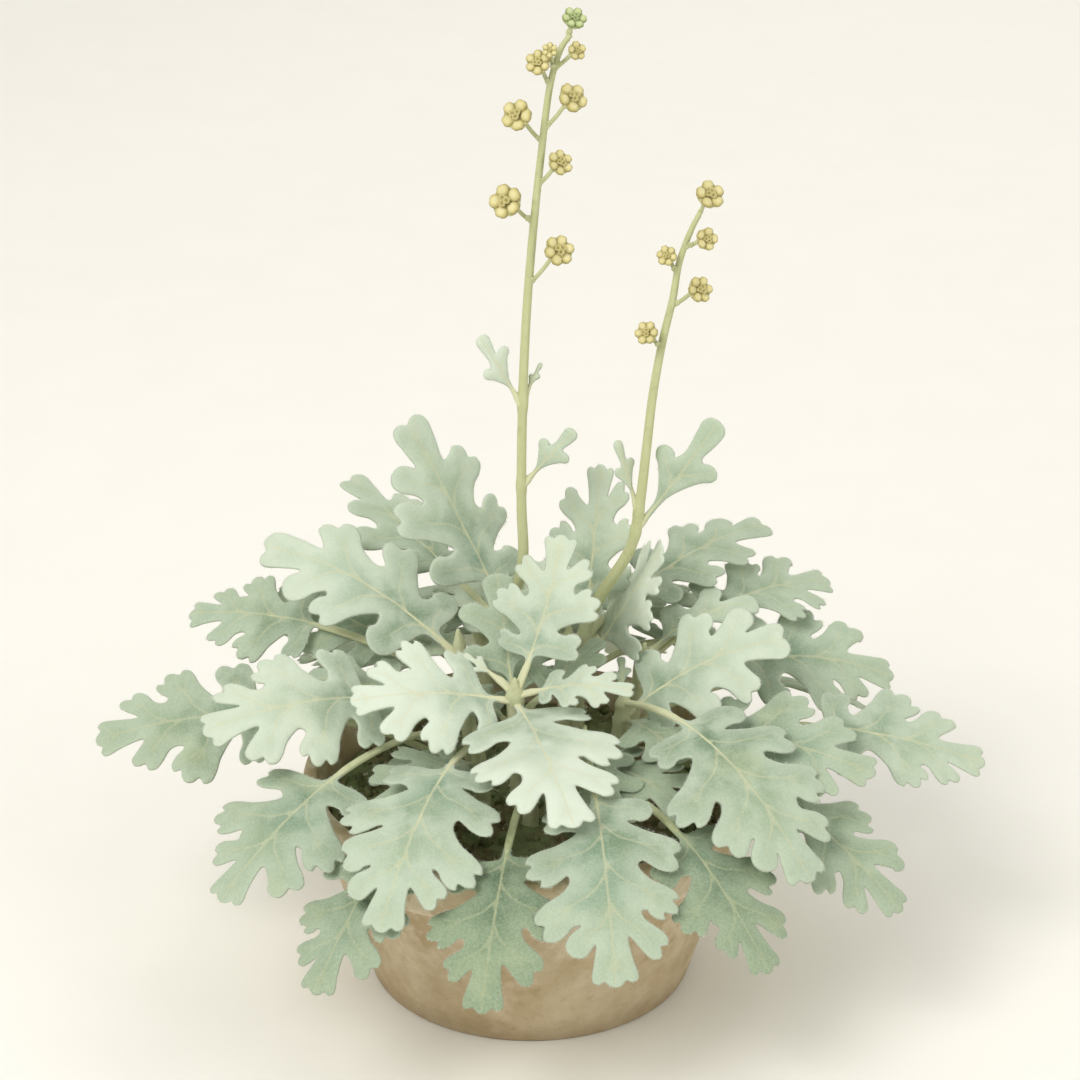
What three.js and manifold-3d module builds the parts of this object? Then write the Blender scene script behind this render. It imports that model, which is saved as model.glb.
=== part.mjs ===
// Potted beach wormwood: a low clay pan of soil that holds leafy shoots with lobed, felted leaves.
// Two of the shoots go up into flower stalks with small round heads.
// Millimetres, +Z up, the origin at the middle of the pan's base. The front of the plant faces -Y.
import * as THREE from "three";
import { mergeVertices } from "three/addons/utils/BufferGeometryUtils.js";
import Module from "manifold-3d";

const wasm = await Module();
wasm.setup();

// Driving dimensions
const GAP = 0.3; // clearance between pieces that rest on each other
const POT = {
  height: 72,
  baseRadius: 54,
  rimRadius: 75,
  collarHeight: 18,
  wallTopRadius: 69,
  innerBaseRadius: 49.5,
  innerRimRadius: 70,
  floor: 8,
  edge: 1.5,
  sides: 36,
  drainHoles: 3,
  drainHoleRadius: 5,
  drainHoleRing: 26,
  drainHoleSides: 12,
};
const SOIL = {
  height: 64,
  lump: 1.5,
  broadTurn: [0.21, 0.17], // radians for each mm along x and y, of the broad lumps and the fine
  fineTurn: [0.4, -0.33],
  fineShare: 0.5, // height of the fine lumps, as a share of the broad ones'
  rings: 5,
  sides: 26,
  facetRoom: 0.5, // keeps the soil's facets inside those of the pan
};
const STEM = {
  rootDepth: 12,
  footRadius: 2.7,
  topRadius: 2.1,
  tipRadius: 0.5,
  tipLength: 5,
  lean: 0.005, // how much a stem moves outwards for each mm of height, as a share of its place
  sides: 6,
};
const LEAF = {
  edgeThickness: 0.8,
  ribThickness: 1.3,
  petioleThickness: 2.4,
  petioleHalfWidth: 1.3,
  petioleStep: 24,
  ribStep: 13,
  cup: 0.004, // droop of the sides, per mm of distance from the midrib squared
  wave: 0.06, // rise of the waved edge, per mm of distance from the midrib
  waveTurn: 7.5, // radians that the wave turns through along a blade
  // The next four are shares of a lobe: its flanks' half width, where they begin, and the limits
  flank: 0.88,
  baseFlank: 0.5,
  tipFlank: 0.54,
  flankEnd: 0.82,
  firstSinus: 0.8, // the half width that the first sinus leaves, as a share of the rib
  sinusRoom: 0.02, // least distance from a sinus to the flank beside it, in blade lengths
  // Draws: how far a lobe's reach, half width and sinus go to either side of their form, as shares
  reachSpread: 0.08,
  halfSpread: 0.07,
  sinusSpread: 0.09,
  angleSpread: 4,
  baseHalf: 0.02, // half width of the blade at its base, then at its first lobe
  shoulderHalf: 0.034,
  shoulder: 0.6, // place of the second, as a share of the way to the first lobe's root
  tipSinus: 0.75, // most that the last sinus leaves, as a share of the end lobe's half width
  ribEnd: 0.25, // where the midrib ends in the end lobe, as a share of its reach
  ribThinning: 3, // the midrib is down to its own thickness after one part in this many
};
// Places in a leaf's row of draws: where each side's lobes begin, and how many each lobe takes
const LOBE_DRAWS = { left: 10, right: 50, each: 5 };
const STALK = { footRadius: 1.9, tipRadius: 0.8 };
const PEDICEL = { footRadius: 0.9, neckRadius: 0.7, cupRadius: 0.3, cupLength: 0.3, sides: 5 };
const HEAD = {
  back: -0.5,
  front: 0.46,
  // [radius, place along the axis, depth of the notches between lobes], from the back to the front
  rings: [
    [0.5, -0.42, 0],
    [0.97, -0.12, 0.36],
    [0.97, 0.24, 0.4],
    [0.38, 0.3, 0],
  ],
  fewestLobes: 5,
  sidesPerLobe: 3,
  lobeSpread: 0.25, // greatest share that a draw takes off a lobe's notch
  lobeRise: 0.4, // how far a lobe stands to the front or the back, as a share of its notch
  leastTurn: 0.8, // least and greatest turn from the stalk towards the front
  greatestTurn: 1.4,
  lookUp: 0.15, // rise of the direction that they turn towards
};

// Surfaces, with the leaves' and heads' colours from the picture
const CLAY = { color: 0xb9a584, roughness: 0.9 };
const EARTH = { color: 0x726c4e, roughness: 1 };
const FELT_LEAF = { color: 0xc2d0b4, roughness: 0.95 };
const OCHRE_HEAD = { color: 0xcabd88, roughness: 0.9 };
const GREEN_BUD = { color: 0xaebf96, roughness: 0.9 };

// Leaf forms. A lobe is [place of its root along the midrib, angle, reach, half width, teeth],
// in blade lengths and degrees. The rib is the half width that the sinuses leave.
const FORMS = {
  broad: {
    left: [[0.09, 78, 0.3, 0.082, 2], [0.28, 58, 0.43, 0.115, 3], [0.53, 48, 0.37, 0.098, 2]],
    right: [[0.15, 72, 0.35, 0.09, 2], [0.38, 56, 0.42, 0.106, 3], [0.6, 44, 0.32, 0.08, 2]],
    tip: [0.74, 0, 0.26, 0.11, 3],
    rib: 0.155,
  },
  long: {
    left: [[0.14, 68, 0.28, 0.085, 1], [0.36, 54, 0.36, 0.098, 2], [0.58, 44, 0.3, 0.082, 1]],
    right: [[0.08, 74, 0.24, 0.075, 1], [0.25, 58, 0.35, 0.092, 2], [0.5, 48, 0.35, 0.098, 2]],
    tip: [0.72, 0, 0.28, 0.108, 2],
    rib: 0.135,
  },
  dense: {
    left: [
      [0.07, 80, 0.26, 0.074, 1],
      [0.22, 66, 0.38, 0.09, 2],
      [0.42, 54, 0.4, 0.09, 3],
      [0.62, 45, 0.3, 0.074, 2],
    ],
    right: [
      [0.11, 78, 0.28, 0.078, 2],
      [0.29, 62, 0.4, 0.095, 3],
      [0.49, 50, 0.37, 0.09, 2],
      [0.66, 44, 0.26, 0.066, 1],
    ],
    tip: [0.77, 0, 0.23, 0.1, 3],
    rib: 0.15,
  },
  plain: {
    left: [[0.2, 62, 0.32, 0.105, 1], [0.48, 46, 0.36, 0.1, 1]],
    right: [[0.3, 58, 0.34, 0.105, 1], [0.57, 44, 0.32, 0.095, 1]],
    tip: [0.7, 0, 0.3, 0.11, 1],
    rib: 0.145,
  },
  small: {
    left: [[0.34, 42, 0.3, 0.08, 1]],
    right: [[0.44, 40, 0.3, 0.08, 1]],
    tip: [0.66, 0, 0.34, 0.095, 1],
    rib: 0.08,
  },
};

// The end of a lobe by its number of teeth, from its base side round to its tip side:
// [along, across], in reaches and half widths.
const TEETH = {
  1: [[0.92, -0.66], [0.92, 0.66]],
  2: [[0.88, -0.96], [0.91, -0.14], [1, 0.4], [0.88, 0.92]],
  3: [[0.84, -1.02], [0.88, -0.48], [1, -0.04], [0.89, 0.47], [0.87, 0.98]],
};

// Shoots. A leaf is [height on the stem, azimuth, reach, tip height, arch, sweep, blade length,
// width, roll towards the front, form, seed]: millimetres and degrees, azimuth 0 along +X.
// A flower head is [height on the stalk, x, y, z, radius, colour].
const SHOOTS = {
  heart_shoot: {
    foot: [-4, -12],
    top: 108,
    leaves: [
      [104, 280, 79, 94, 8, 0, 64, 1.06, 0, "broad", 11],
      [104, 207, 64, 112, 8, 4, 50, 1.1, 30, "broad", 12],
      [106, 322, 42, 114, 6, 0, 34, 0.8, 30, "long", 13],
      [107, 30, 12, 154, 0, -4, 44, 1.1, 20, "broad", 14],
      [107, 190, 22, 116, 2, 0, 14, 1, 30, "small", 15],
      [100, 120, 22, 134, 0, 0, 40, 1.25, 20, "plain", 16],
      [96, 32, 28, 112, 4, 0, 34, 1, 10, "plain", 17],
      [96, 84, 26, 106, 8, 0, 34, 1.1, 0, "plain", 18],
      [92, 157, 25, 97, 6, 0, 25, 1.3, 0, "plain", 19],
    ],
  },
  front_shoot: {
    foot: [0, -24],
    top: 90,
    leaves: [[80, 263, 119, 53, 29, 0, 58, 0.95, 0, "broad", 21]],
  },
  front_right_shoot: {
    foot: [15, -18],
    top: 94,
    leaves: [
      [90, 283, 116, 59, 32, 0, 68, 1.02, 0, "dense", 22],
      [78, 307, 122, 54, 34, 0, 56, 0.95, 0, "broad", 25],
      [84, 314, 72, 82, 12, 0, 46, 1.2, 10, "long", 61],
      [92, 296, 62, 84, 8, 0, 36, 1.3, 0, "plain", 65],
    ],
  },
  front_left_shoot: {
    foot: [-15, -18],
    top: 94,
    leaves: [
      [92, 245, 108, 69, 26, 0, 68, 1, 5, "dense", 23],
      [78, 237, 121, 49, 33, 0, 52, 1, 0, "broad", 24],
      [84, 226, 72, 82, 12, 0, 46, 1.2, 10, "long", 62],
      [81, 201, 56, 78, 6, 0, 34, 1.3, 0, "plain", 64],
    ],
  },
  left_shoot: {
    foot: [-25, -3],
    top: 98,
    leaves: [
      [97, 198, 109, 103, 14, 0, 62, 0.95, 32, "broad", 31],
      [88, 218, 122, 66, 26, 0, 58, 1.05, 10, "broad", 27],
      [82, 180, 143, 82, 22, 0, 62, 0.95, 30, "broad", 32],
      [76, 166, 132, 64, 28, 0, 54, 0.95, -10, "long", 75],
      [94, 170, 76, 98, 8, 0, 44, 1.1, 20, "plain", 63],
    ],
  },
  right_shoot: {
    foot: [26, -3],
    top: 98,
    leaves: [
      [92, 2, 84, 118, 12, 0, 56, 1.2, 32, "long", 41],
      [98, 320, 114, 72, 30, 0, 72, 1, 15, "dense", 26],
      [86, 341, 116, 90, 15, 0, 60, 0.95, 26, "broad", 42],
      [82, 356, 149, 79, 22, 0, 58, 0.92, 24, "broad", 43],
      [80, 333, 132, 53, 34, 0, 58, 0.9, 15, "broad", 28],
      [92, 328, 58, 91, 6, 0, 32, 1.3, 10, "plain", 49],
      [98, 25, 33, 106, 2, 0, 16, 1, 10, "small", 48],
    ],
  },
  back_left_shoot: {
    foot: [-19, 13],
    top: 110,
    leaves: [
      [104, 153, 101, 131, 16, 0, 72, 0.95, 30, "long", 35],
      [92, 157, 126, 104, 20, 0, 50, 0.95, 28, "broad", 33],
      [88, 148, 104, 108, 16, 0, 50, 1, 28, "broad", 34],
      [86, 138, 104, 80, 20, 0, 58, 1, 0, "broad", 84],
      [99, 133, 57, 103, 8, 0, 28, 1.1, 0, "plain", 37],
    ],
  },
  far_right_shoot: {
    foot: [31, 15],
    top: 104,
    leaves: [
      [100, 30, 118, 112, 18, 0, 52, 0.95, 22, "broad", 45],
      [90, 14, 126, 90, 22, 0, 60, 0.95, 26, "broad", 44],
      [78, 28, 132, 62, 28, 0, 54, 0.95, -10, "long", 76],
      [103, 22, 82, 117, 12, 0, 40, 1.1, 15, "plain", 47],
    ],
  },
  rear_left_shoot: {
    foot: [-14, 36],
    top: 98,
    leaves: [
      [94, 113, 108, 84, 28, 0, 62, 1, 5, "dense", 83],
      [78, 100, 122, 56, 32, 0, 58, 0.95, 0, "broad", 73],
      [80, 126, 126, 60, 30, 0, 58, 0.95, 0, "broad", 74],
    ],
  },
  rear_right_shoot: {
    foot: [11, 38],
    top: 98,
    leaves: [
      [88, 88, 108, 74, 26, 0, 64, 1, 0, "broad", 82],
      [80, 48, 124, 62, 30, 0, 58, 0.95, 0, "broad", 71],
      [78, 74, 122, 54, 32, 0, 58, 0.95, 0, "broad", 72],
    ],
  },
  tall_flowering_shoot: {
    foot: [-5, 27],
    top: 112,
    stalk: [[-2.4, 27, 135], [-2.8, 27, 156], [-2.5, 27, 185], [-1.2, 27, 220], [1, 27, 250],
      [3.6, 27, 276], [6.6, 27, 299], [10, 27, 310], [12.6, 27, 313.6]],
    leaves: [
      [108, 124, 74, 171, 2, 0, 66, 1.1, 10, "long", 51],
      [104, 125, 110, 137, 4, 0, 58, 1, 0, "long", 36],
      [106, 82, 84, 108, 16, 0, 52, 1, -5, "broad", 91],
      [100, 112, 78, 106, 12, 0, 46, 1, -10, "long", 92],
      [190, 125, 28, 216, 0, 0, 26, 1, 70, "small", 54],
      [193, 83, 30, 204, 0, 0, 11, 0.8, 70, "small", 55],
      [162, 59, 28, 183, 0, 0, 24, 1.1, 70, "small", 56],
    ],
    heads: [
      [232, 9, 22, 245, 5.3, OCHRE_HEAD],
      [252.5, -7.2, 24, 260.6, 5.8, OCHRE_HEAD],
      [265, 9.3, 25, 273, 4.4, OCHRE_HEAD],
      [279, -3.8, 23, 289, 5.3, OCHRE_HEAD],
      [283.5, 13.1, 25, 294, 5.1, OCHRE_HEAD],
      [297, 2.7, 24, 305.5, 4.3, OCHRE_HEAD],
      [302, 6.2, 22.5, 310, 2.6, OCHRE_HEAD],
      [303, 14.4, 25, 309, 3.2, OCHRE_HEAD],
      [312, 13.6, 27, 318.5, 4.1, GREEN_BUD],
    ],
  },
  short_flowering_shoot: {
    foot: [15, 20],
    top: 112,
    stalk: [[33.2, 20, 144], [35.6, 20, 158], [37.6, 20, 178], [39.4, 20, 197], [42.2, 20, 215.5],
      [45.2, 20, 230], [47, 20, 242], [50.4, 20, 252.5], [53.4, 20, 259]],
    leaves: [
      [108, 41, 107, 128, 14, 0, 58, 0.9, 16, "long", 46],
      [108, 62, 50, 162, 2, 0, 48, 0.85, 0, "broad", 52],
      [96, 25, 48, 143, -2, 4, 44, 1.2, 25, "broad", 53],
      [98, 60, 108, 88, 28, 0, 62, 1, -5, "dense", 81],
      [104, 52, 86, 110, 14, 0, 46, 1, 0, "long", 93],
      [149, 16, 63, 189, -2, 0, 43, 1.1, 70, "small", 57],
      [156, 39, 36, 180, 0, 0, 22, 0.8, 70, "small", 58],
    ],
    heads: [
      [213, 37, 16, 219.7, 4.1, OCHRE_HEAD],
      [227, 53.3, 18, 233.5, 4.6, OCHRE_HEAD],
      [238, 43, 17.5, 245, 3.5, OCHRE_HEAD],
      [247, 55, 15, 251.5, 3.9, OCHRE_HEAD],
      [257, 56, 20, 264, 5, OCHRE_HEAD],
    ],
  },
};

// Draws: the same number, from 0 to 1, each time for a seed and a place in its row
function draw(seed, place) {
  const x = Math.sin(seed * 12.9898 + place * 78.233) * 43758.5453;
  return x - Math.floor(x);
}

function drawAround(middle, spread, seed, place) {
  return middle + spread * (2 * draw(seed, place) - 1);
}

const radians = THREE.MathUtils.degToRad;

// Solids: triangles in, closed body out
function solidFrom(positions, indices) {
  return new wasm.Manifold(
    new wasm.Mesh({
      numProp: 3,
      vertProperties: new Float32Array(positions),
      triVerts: new Uint32Array(indices),
    }),
  );
}

function solidOf(geometry) {
  geometry.deleteAttribute("normal");
  geometry.deleteAttribute("uv");
  const merged = mergeVertices(geometry, 1e-3);
  return solidFrom(merged.attributes.position.array, merged.index.array);
}

function geometryOf(solid) {
  const mesh = solid.getMesh();
  const geometry = new THREE.BufferGeometry();
  geometry.setAttribute("position", new THREE.Float32BufferAttribute(mesh.vertProperties, 3));
  geometry.setIndex(new THREE.Uint32BufferAttribute(mesh.triVerts, 1));
  geometry.computeVertexNormals();
  return geometry;
}

// Tube with closed ends through points, with a radius at each
function tube(points, radii, sides) {
  const positions = [];
  const indices = [];
  const side = new THREE.Vector3();
  const front = new THREE.Vector3();
  points.forEach((point, i) => {
    const before = points[Math.max(i - 1, 0)];
    const after = points[Math.min(i + 1, points.length - 1)];
    const along = after.clone().sub(before).normalize();
    const steep = Math.abs(along.z) > Math.SQRT1_2;
    const across = steep ? new THREE.Vector3(0, 1, 0) : new THREE.Vector3(0, 0, 1);
    side.crossVectors(across, along).normalize();
    front.crossVectors(along, side);
    for (let k = 0; k < sides; k++) {
      const turn = (2 * Math.PI * k) / sides;
      const corner = point.clone();
      corner.addScaledVector(side, radii[i] * Math.cos(turn));
      corner.addScaledVector(front, radii[i] * Math.sin(turn));
      positions.push(...corner);
    }
  });
  const rings = points.length - 1;
  for (let i = 0; i < rings; i++) {
    for (let k = 0; k < sides; k++) {
      const a = i * sides + k;
      const b = i * sides + ((k + 1) % sides);
      indices.push(a, b, b + sides, a, b + sides, a + sides);
    }
  }
  for (let k = 1; k < sides - 1; k++) {
    indices.push(0, k + 1, k);
    indices.push(rings * sides, rings * sides + k, rings * sides + k + 1);
  }
  return solidFrom(positions, indices);
}

// Stems: straight to the top of the leafy part, then along the flower stalk's points
function stemPoint(shoot, height) {
  if (height <= shoot.top || !shoot.stalk) {
    const lean = 1 + STEM.lean * (height - SOIL.height);
    return new THREE.Vector3(shoot.foot[0] * lean, shoot.foot[1] * lean, height);
  }
  const points = shoot.stalk.map((place) => new THREE.Vector3(...place));
  points.unshift(stemPoint(shoot, shoot.top));
  const next = points.findIndex((point) => point.z >= height);
  const share = (height - points[next - 1].z) / (points[next].z - points[next - 1].z);
  return points[next - 1].lerp(points[next], share);
}

function leafyStem(shoot, bottom, extra) {
  const points = [stemPoint(shoot, bottom), stemPoint(shoot, shoot.top)];
  const radii = [STEM.footRadius + extra, STEM.topRadius + extra];
  return { points, radii };
}

function stem(shoot) {
  const { points, radii } = leafyStem(shoot, SOIL.height - STEM.rootDepth + GAP, 0);
  if (shoot.stalk) {
    shoot.stalk.forEach((place, i) => {
      const share = (i + 1) / shoot.stalk.length;
      points.push(new THREE.Vector3(...place));
      radii.push(THREE.MathUtils.lerp(STALK.footRadius, STALK.tipRadius, share));
    });
  } else {
    points.push(stemPoint(shoot, shoot.top + STEM.tipLength));
    radii.push(STEM.tipRadius);
  }
  return tube(points, radii, STEM.sides);
}

function stemHole(shoot) {
  const { points, radii } = leafyStem(shoot, SOIL.height - STEM.rootDepth, GAP);
  return tube(points, radii, STEM.sides);
}

// Leaf outline: one side lobe from its base side to its tip side, with v counted from the midrib.
// The flanks' middles place the sinuses, and only the broader lobes keep them as points.
function lobeEdge([root, degrees, fullReach, fullHalf, teeth], rib, seed, place) {
  const reach = fullReach * drawAround(1, LEAF.reachSpread, seed, place);
  const angle = radians(drawAround(degrees, LEAF.angleSpread, seed, place + 1));
  const half = fullHalf * drawAround(1, LEAF.halfSpread, seed, place + 2);
  const cos = Math.cos(angle);
  const sin = Math.sin(angle);
  const point = (x, y) => [root + x * cos + y * sin, x * sin - y * cos];
  const clear = (rib + LEAF.sinusRoom + LEAF.flank * half * cos) / sin;
  const baseFlank = point(LEAF.baseFlank * reach, -LEAF.flank * half);
  const inner = THREE.MathUtils.clamp(clear, LEAF.tipFlank * reach, LEAF.flankEnd * reach);
  const tipFlank = point(inner, LEAF.flank * half);
  const edge = TEETH[teeth].map(([along, across]) => point(along * reach, across * half));
  if (teeth > 1) edge.unshift(baseFlank);
  if (teeth > 2) edge.push(tipFlank);
  return { edge, angle, baseFlank, tipFlank };
}

function tipEdge([root, , reach, half, teeth]) {
  const side = [root + LEAF.baseFlank * reach, LEAF.flank * half];
  const end = TEETH[teeth].map(([along, across]) => [root + along * reach, -across * half]);
  return [side, ...end, [side[0], -side[1]]];
}

// One half of a blade: the two points at its base, its lobes, and the sinus after each lobe
function halfBlade(form, side, seed) {
  const lobes = side > 0 ? form.left : form.right;
  const tip = tipEdge(form.tip);
  const first = side > 0 ? LOBE_DRAWS.left : LOBE_DRAWS.right;
  const places = lobes.map((lobe, i) => first + LOBE_DRAWS.each * i);
  const edges = lobes.map((lobe, i) => lobeEdge(lobe, form.rib, seed, places[i]));
  const base = [[0, LEAF.baseHalf], [LEAF.shoulder * lobes[0][0], LEAF.shoulderHalf]];
  const sinuses = edges.map(({ angle, tipFlank }, i) => {
    const last = i + 1 === edges.length;
    const next = last ? tip[0] : edges[i + 1].baseFlank;
    const nextAngle = last ? 0 : edges[i + 1].angle;
    const depth = i ? form.rib : LEAF.firstSinus * form.rib;
    const drawn = depth * drawAround(1, LEAF.sinusSpread, seed, places[i] + 3);
    const rib = last ? Math.min(drawn, LEAF.tipSinus * form.tip[3]) : drawn;
    const middle = [(tipFlank[0] + next[0]) / 2, (tipFlank[1] + next[1]) / 2];
    return [middle[0] - (middle[1] - rib) / Math.tan((angle + nextAngle) / 2), rib];
  });
  const turned = ([u, v]) => [u, side * v];
  return {
    base: base.map(turned),
    lobes: edges.map(({ edge }) => edge.map(turned)),
    sinuses: sinuses.map(turned),
  };
}

// Midline of a leaf: an arch from the stem to the tip, measured along its length
class Midline {
  constructor(shoot, [height, azimuth, reach, tipHeight, arch, sweep, blade, width, roll, , seed]) {
    const start = stemPoint(shoot, height);
    const turn = radians(azimuth);
    const end = new THREE.Vector3(reach * Math.cos(turn), reach * Math.sin(turn), tipHeight);
    const aside = new THREE.Vector3(start.y - end.y, end.x - start.x, 0).normalize();
    const control = start.clone().add(end).multiplyScalar(0.5);
    control.z += arch;
    control.addScaledVector(aside, sweep);
    this.curve = new THREE.QuadraticBezierCurve3(start, control, end);
    this.curve.arcLengthDivisions = 64;
    this.length = this.curve.getLength();
    this.blade = blade;
    this.petiole = this.length - blade;
    this.width = width;
    this.roll = Math.tan(radians(roll));
    this.seed = seed;
  }

  frame(distance) {
    const share = THREE.MathUtils.clamp(distance / this.length, 0, 1);
    const t = this.curve.getUtoTmapping(share);
    const point = this.curve.getPoint(t);
    const along = this.curve.getTangent(t);
    const side = new THREE.Vector3(0, 0, 1).cross(along).normalize();
    const normal = along.clone().cross(side);
    const front = new THREE.Vector3(0, -1, 0);
    front.addScaledVector(along, -front.dot(along));
    const rolled = THREE.MathUtils.clamp(distance / Math.max(this.petiole, 1), 0, 1);
    normal.addScaledVector(front, this.roll * rolled).normalize();
    side.crossVectors(normal, along);
    return { point, side, normal };
  }

  // A point of the blade, or of the stalk where distance is before it, raised by lift
  place(distance, across, lift) {
    const { point, side, normal } = this.frame(distance);
    const u = (distance - this.petiole) / this.blade;
    const ripple = Math.sin(LEAF.waveTurn * u + 2 * Math.PI * draw(this.seed, 7));
    const wave = LEAF.wave * ripple * across;
    point.addScaledVector(side, across);
    return point.addScaledVector(normal, lift + wave - LEAF.cup * across * across);
  }
}

// A leaf with its stalk: the same flat pattern, above and below the midline surface
function leaf(shoot, row) {
  const midline = new Midline(shoot, row);
  const form = FORMS[row[9]];
  const flat = [];
  const vertex = (distance, across, thickness) => flat.push([distance, across, thickness]) - 1;
  const blade = ([u, v]) => {
    const across = v * midline.blade * midline.width;
    return vertex(midline.petiole + u * midline.blade, across, LEAF.edgeThickness);
  };

  const steps = Math.max(1, Math.round(midline.petiole / LEAF.petioleStep));
  const petiole = [];
  for (let i = 0; i < steps; i++) {
    const distance = (midline.petiole * i) / steps;
    petiole.push([
      vertex(distance, LEAF.petioleHalfWidth, LEAF.edgeThickness),
      vertex(distance, 0, LEAF.petioleThickness),
      vertex(distance, -LEAF.petioleHalfWidth, LEAF.edgeThickness),
    ]);
  }

  const halves = [1, -1].map((side) => {
    const half = halfBlade(form, side, midline.seed);
    return {
      base: half.base.map(blade),
      lobes: half.lobes.map((lobe) => lobe.map(blade)),
      sinuses: half.sinuses.map(blade),
    };
  });
  const ribEnd = form.tip[0] + LEAF.ribEnd * form.tip[2];
  const ribSteps = Math.max(2, Math.round((ribEnd * midline.blade) / LEAF.ribStep));
  const rib = [];
  for (let i = 0; i <= ribSteps; i++) {
    const share = i / ribSteps;
    const thinned = Math.min(LEAF.ribThinning * share, 1);
    const thickness = THREE.MathUtils.lerp(LEAF.petioleThickness, LEAF.ribThickness, thinned);
    rib.push(vertex(midline.petiole + share * ribEnd * midline.blade, 0, thickness));
  }
  const tip = tipEdge(form.tip).map(blade);

  const triangles = [];
  const face = (a, b, c) => {
    const corners = [a, b, c].map((i) => new THREE.Vector2(flat[i][0], flat[i][1]));
    triangles.push(THREE.ShapeUtils.area(corners) > 0 ? [a, b, c] : [a, c, b]);
  };
  const patch = (corners) => {
    const outline = corners.map((i) => new THREE.Vector2(flat[i][0], flat[i][1]));
    const faces = THREE.ShapeUtils.triangulateShape(outline, []);
    faces.forEach(([a, b, c]) => face(corners[a], corners[b], corners[c]));
  };
  // Two lines that both run from the stem outwards, joined by faces that follow the arch
  const strip = (edge, middle) => {
    let i = 0;
    let j = 0;
    const ahead = (line, at) => (at + 1 < line.length ? flat[line[at + 1]][0] : Infinity);
    while (i + 1 < edge.length || j + 1 < middle.length) {
      if (ahead(edge, i) <= ahead(middle, j)) {
        face(edge[i], edge[i + 1], middle[j]);
        i++;
      } else {
        face(edge[i], middle[j + 1], middle[j]);
        j++;
      }
    }
  };
  const [left, right] = halves;
  const spine = [...petiole.map((row) => row[1]), ...rib];
  [left, right].forEach((half, index) => {
    const stalkEdge = petiole.map((row) => row[index * 2]);
    strip([...stalkEdge, ...half.base, ...half.sinuses], spine);
    half.lobes.forEach((lobe, i) => {
      const before = i ? half.sinuses[i - 1] : half.base[1];
      patch([before, ...lobe, half.sinuses[i]]);
    });
  });
  patch([rib[ribSteps], left.sinuses.at(-1), ...tip, right.sinuses.at(-1)]);

  const side = (half, index) => {
    const edge = [...petiole.map((row) => row[index * 2]), ...half.base];
    half.lobes.forEach((lobe, i) => edge.push(...lobe, half.sinuses[i]));
    return edge;
  };
  const rim = [...side(left, 0), ...tip, ...side(right, 1).reverse(), spine[0]];
  const count = flat.length;
  const positions = [];
  [1, -1].forEach((face) => {
    flat.forEach(([distance, across, thickness]) => {
      positions.push(...midline.place(distance, across, (face * thickness) / 2));
    });
  });
  // The flat pattern runs along the leaf and to its left, so its faces turn towards the normal
  const indices = triangles.flatMap(([a, b, c]) => [a, b, c, a + count, c + count, b + count]);
  rim.forEach((a, i) => {
    const b = rim[(i + 1) % rim.length];
    indices.push(a, b, b + count, a, b + count, a + count);
  });
  return solidFrom(positions, indices);
}

// Pot: a turned pan with a collar at the rim and drain holes round the middle of its floor
function pot() {
  const wallTop = POT.height - POT.collarHeight;
  const profile = [
    [0, 0],
    [POT.baseRadius - POT.edge, 0],
    [POT.baseRadius, POT.edge],
    [POT.wallTopRadius, wallTop],
    [POT.rimRadius - POT.edge, wallTop + POT.edge],
    [POT.rimRadius, POT.height - 2 * POT.edge],
    [POT.rimRadius - POT.edge, POT.height],
    [POT.innerRimRadius + POT.edge, POT.height],
    [POT.innerRimRadius, POT.height - POT.edge],
    [POT.innerBaseRadius, POT.floor],
    [0, POT.floor],
  ].map(([radius, height]) => new THREE.Vector2(radius, height));
  const turned = new THREE.LatheGeometry(profile, POT.sides);
  let body = solidOf(turned.rotateX(Math.PI / 2));
  for (let i = 0; i < POT.drainHoles; i++) {
    const turn = (2 * Math.PI * (i + 0.5)) / POT.drainHoles;
    const radius = POT.drainHoleRadius;
    const hole = new THREE.CylinderGeometry(radius, radius, 3 * POT.floor, POT.drainHoleSides);
    hole.rotateX(Math.PI / 2);
    hole.translate(POT.drainHoleRing * Math.cos(turn), POT.drainHoleRing * Math.sin(turn), 0);
    body = body.subtract(solidOf(hole));
  }
  return body;
}

// Soil: fills the pan, lumpy on top, with a plain hole for every stem
function soilTop(x, y) {
  const { broadTurn, fineTurn, fineShare } = SOIL;
  const broad = Math.sin(broadTurn[0] * x + 1) * Math.cos(broadTurn[1] * y);
  const fine = Math.sin(fineTurn[0] * x + fineTurn[1] * y);
  return SOIL.height + SOIL.lump * (broad + fineShare * fine);
}

function innerRadius(height) {
  const share = (height - POT.floor) / (POT.height - POT.edge - POT.floor);
  return THREE.MathUtils.lerp(POT.innerBaseRadius, POT.innerRimRadius, share);
}

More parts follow.
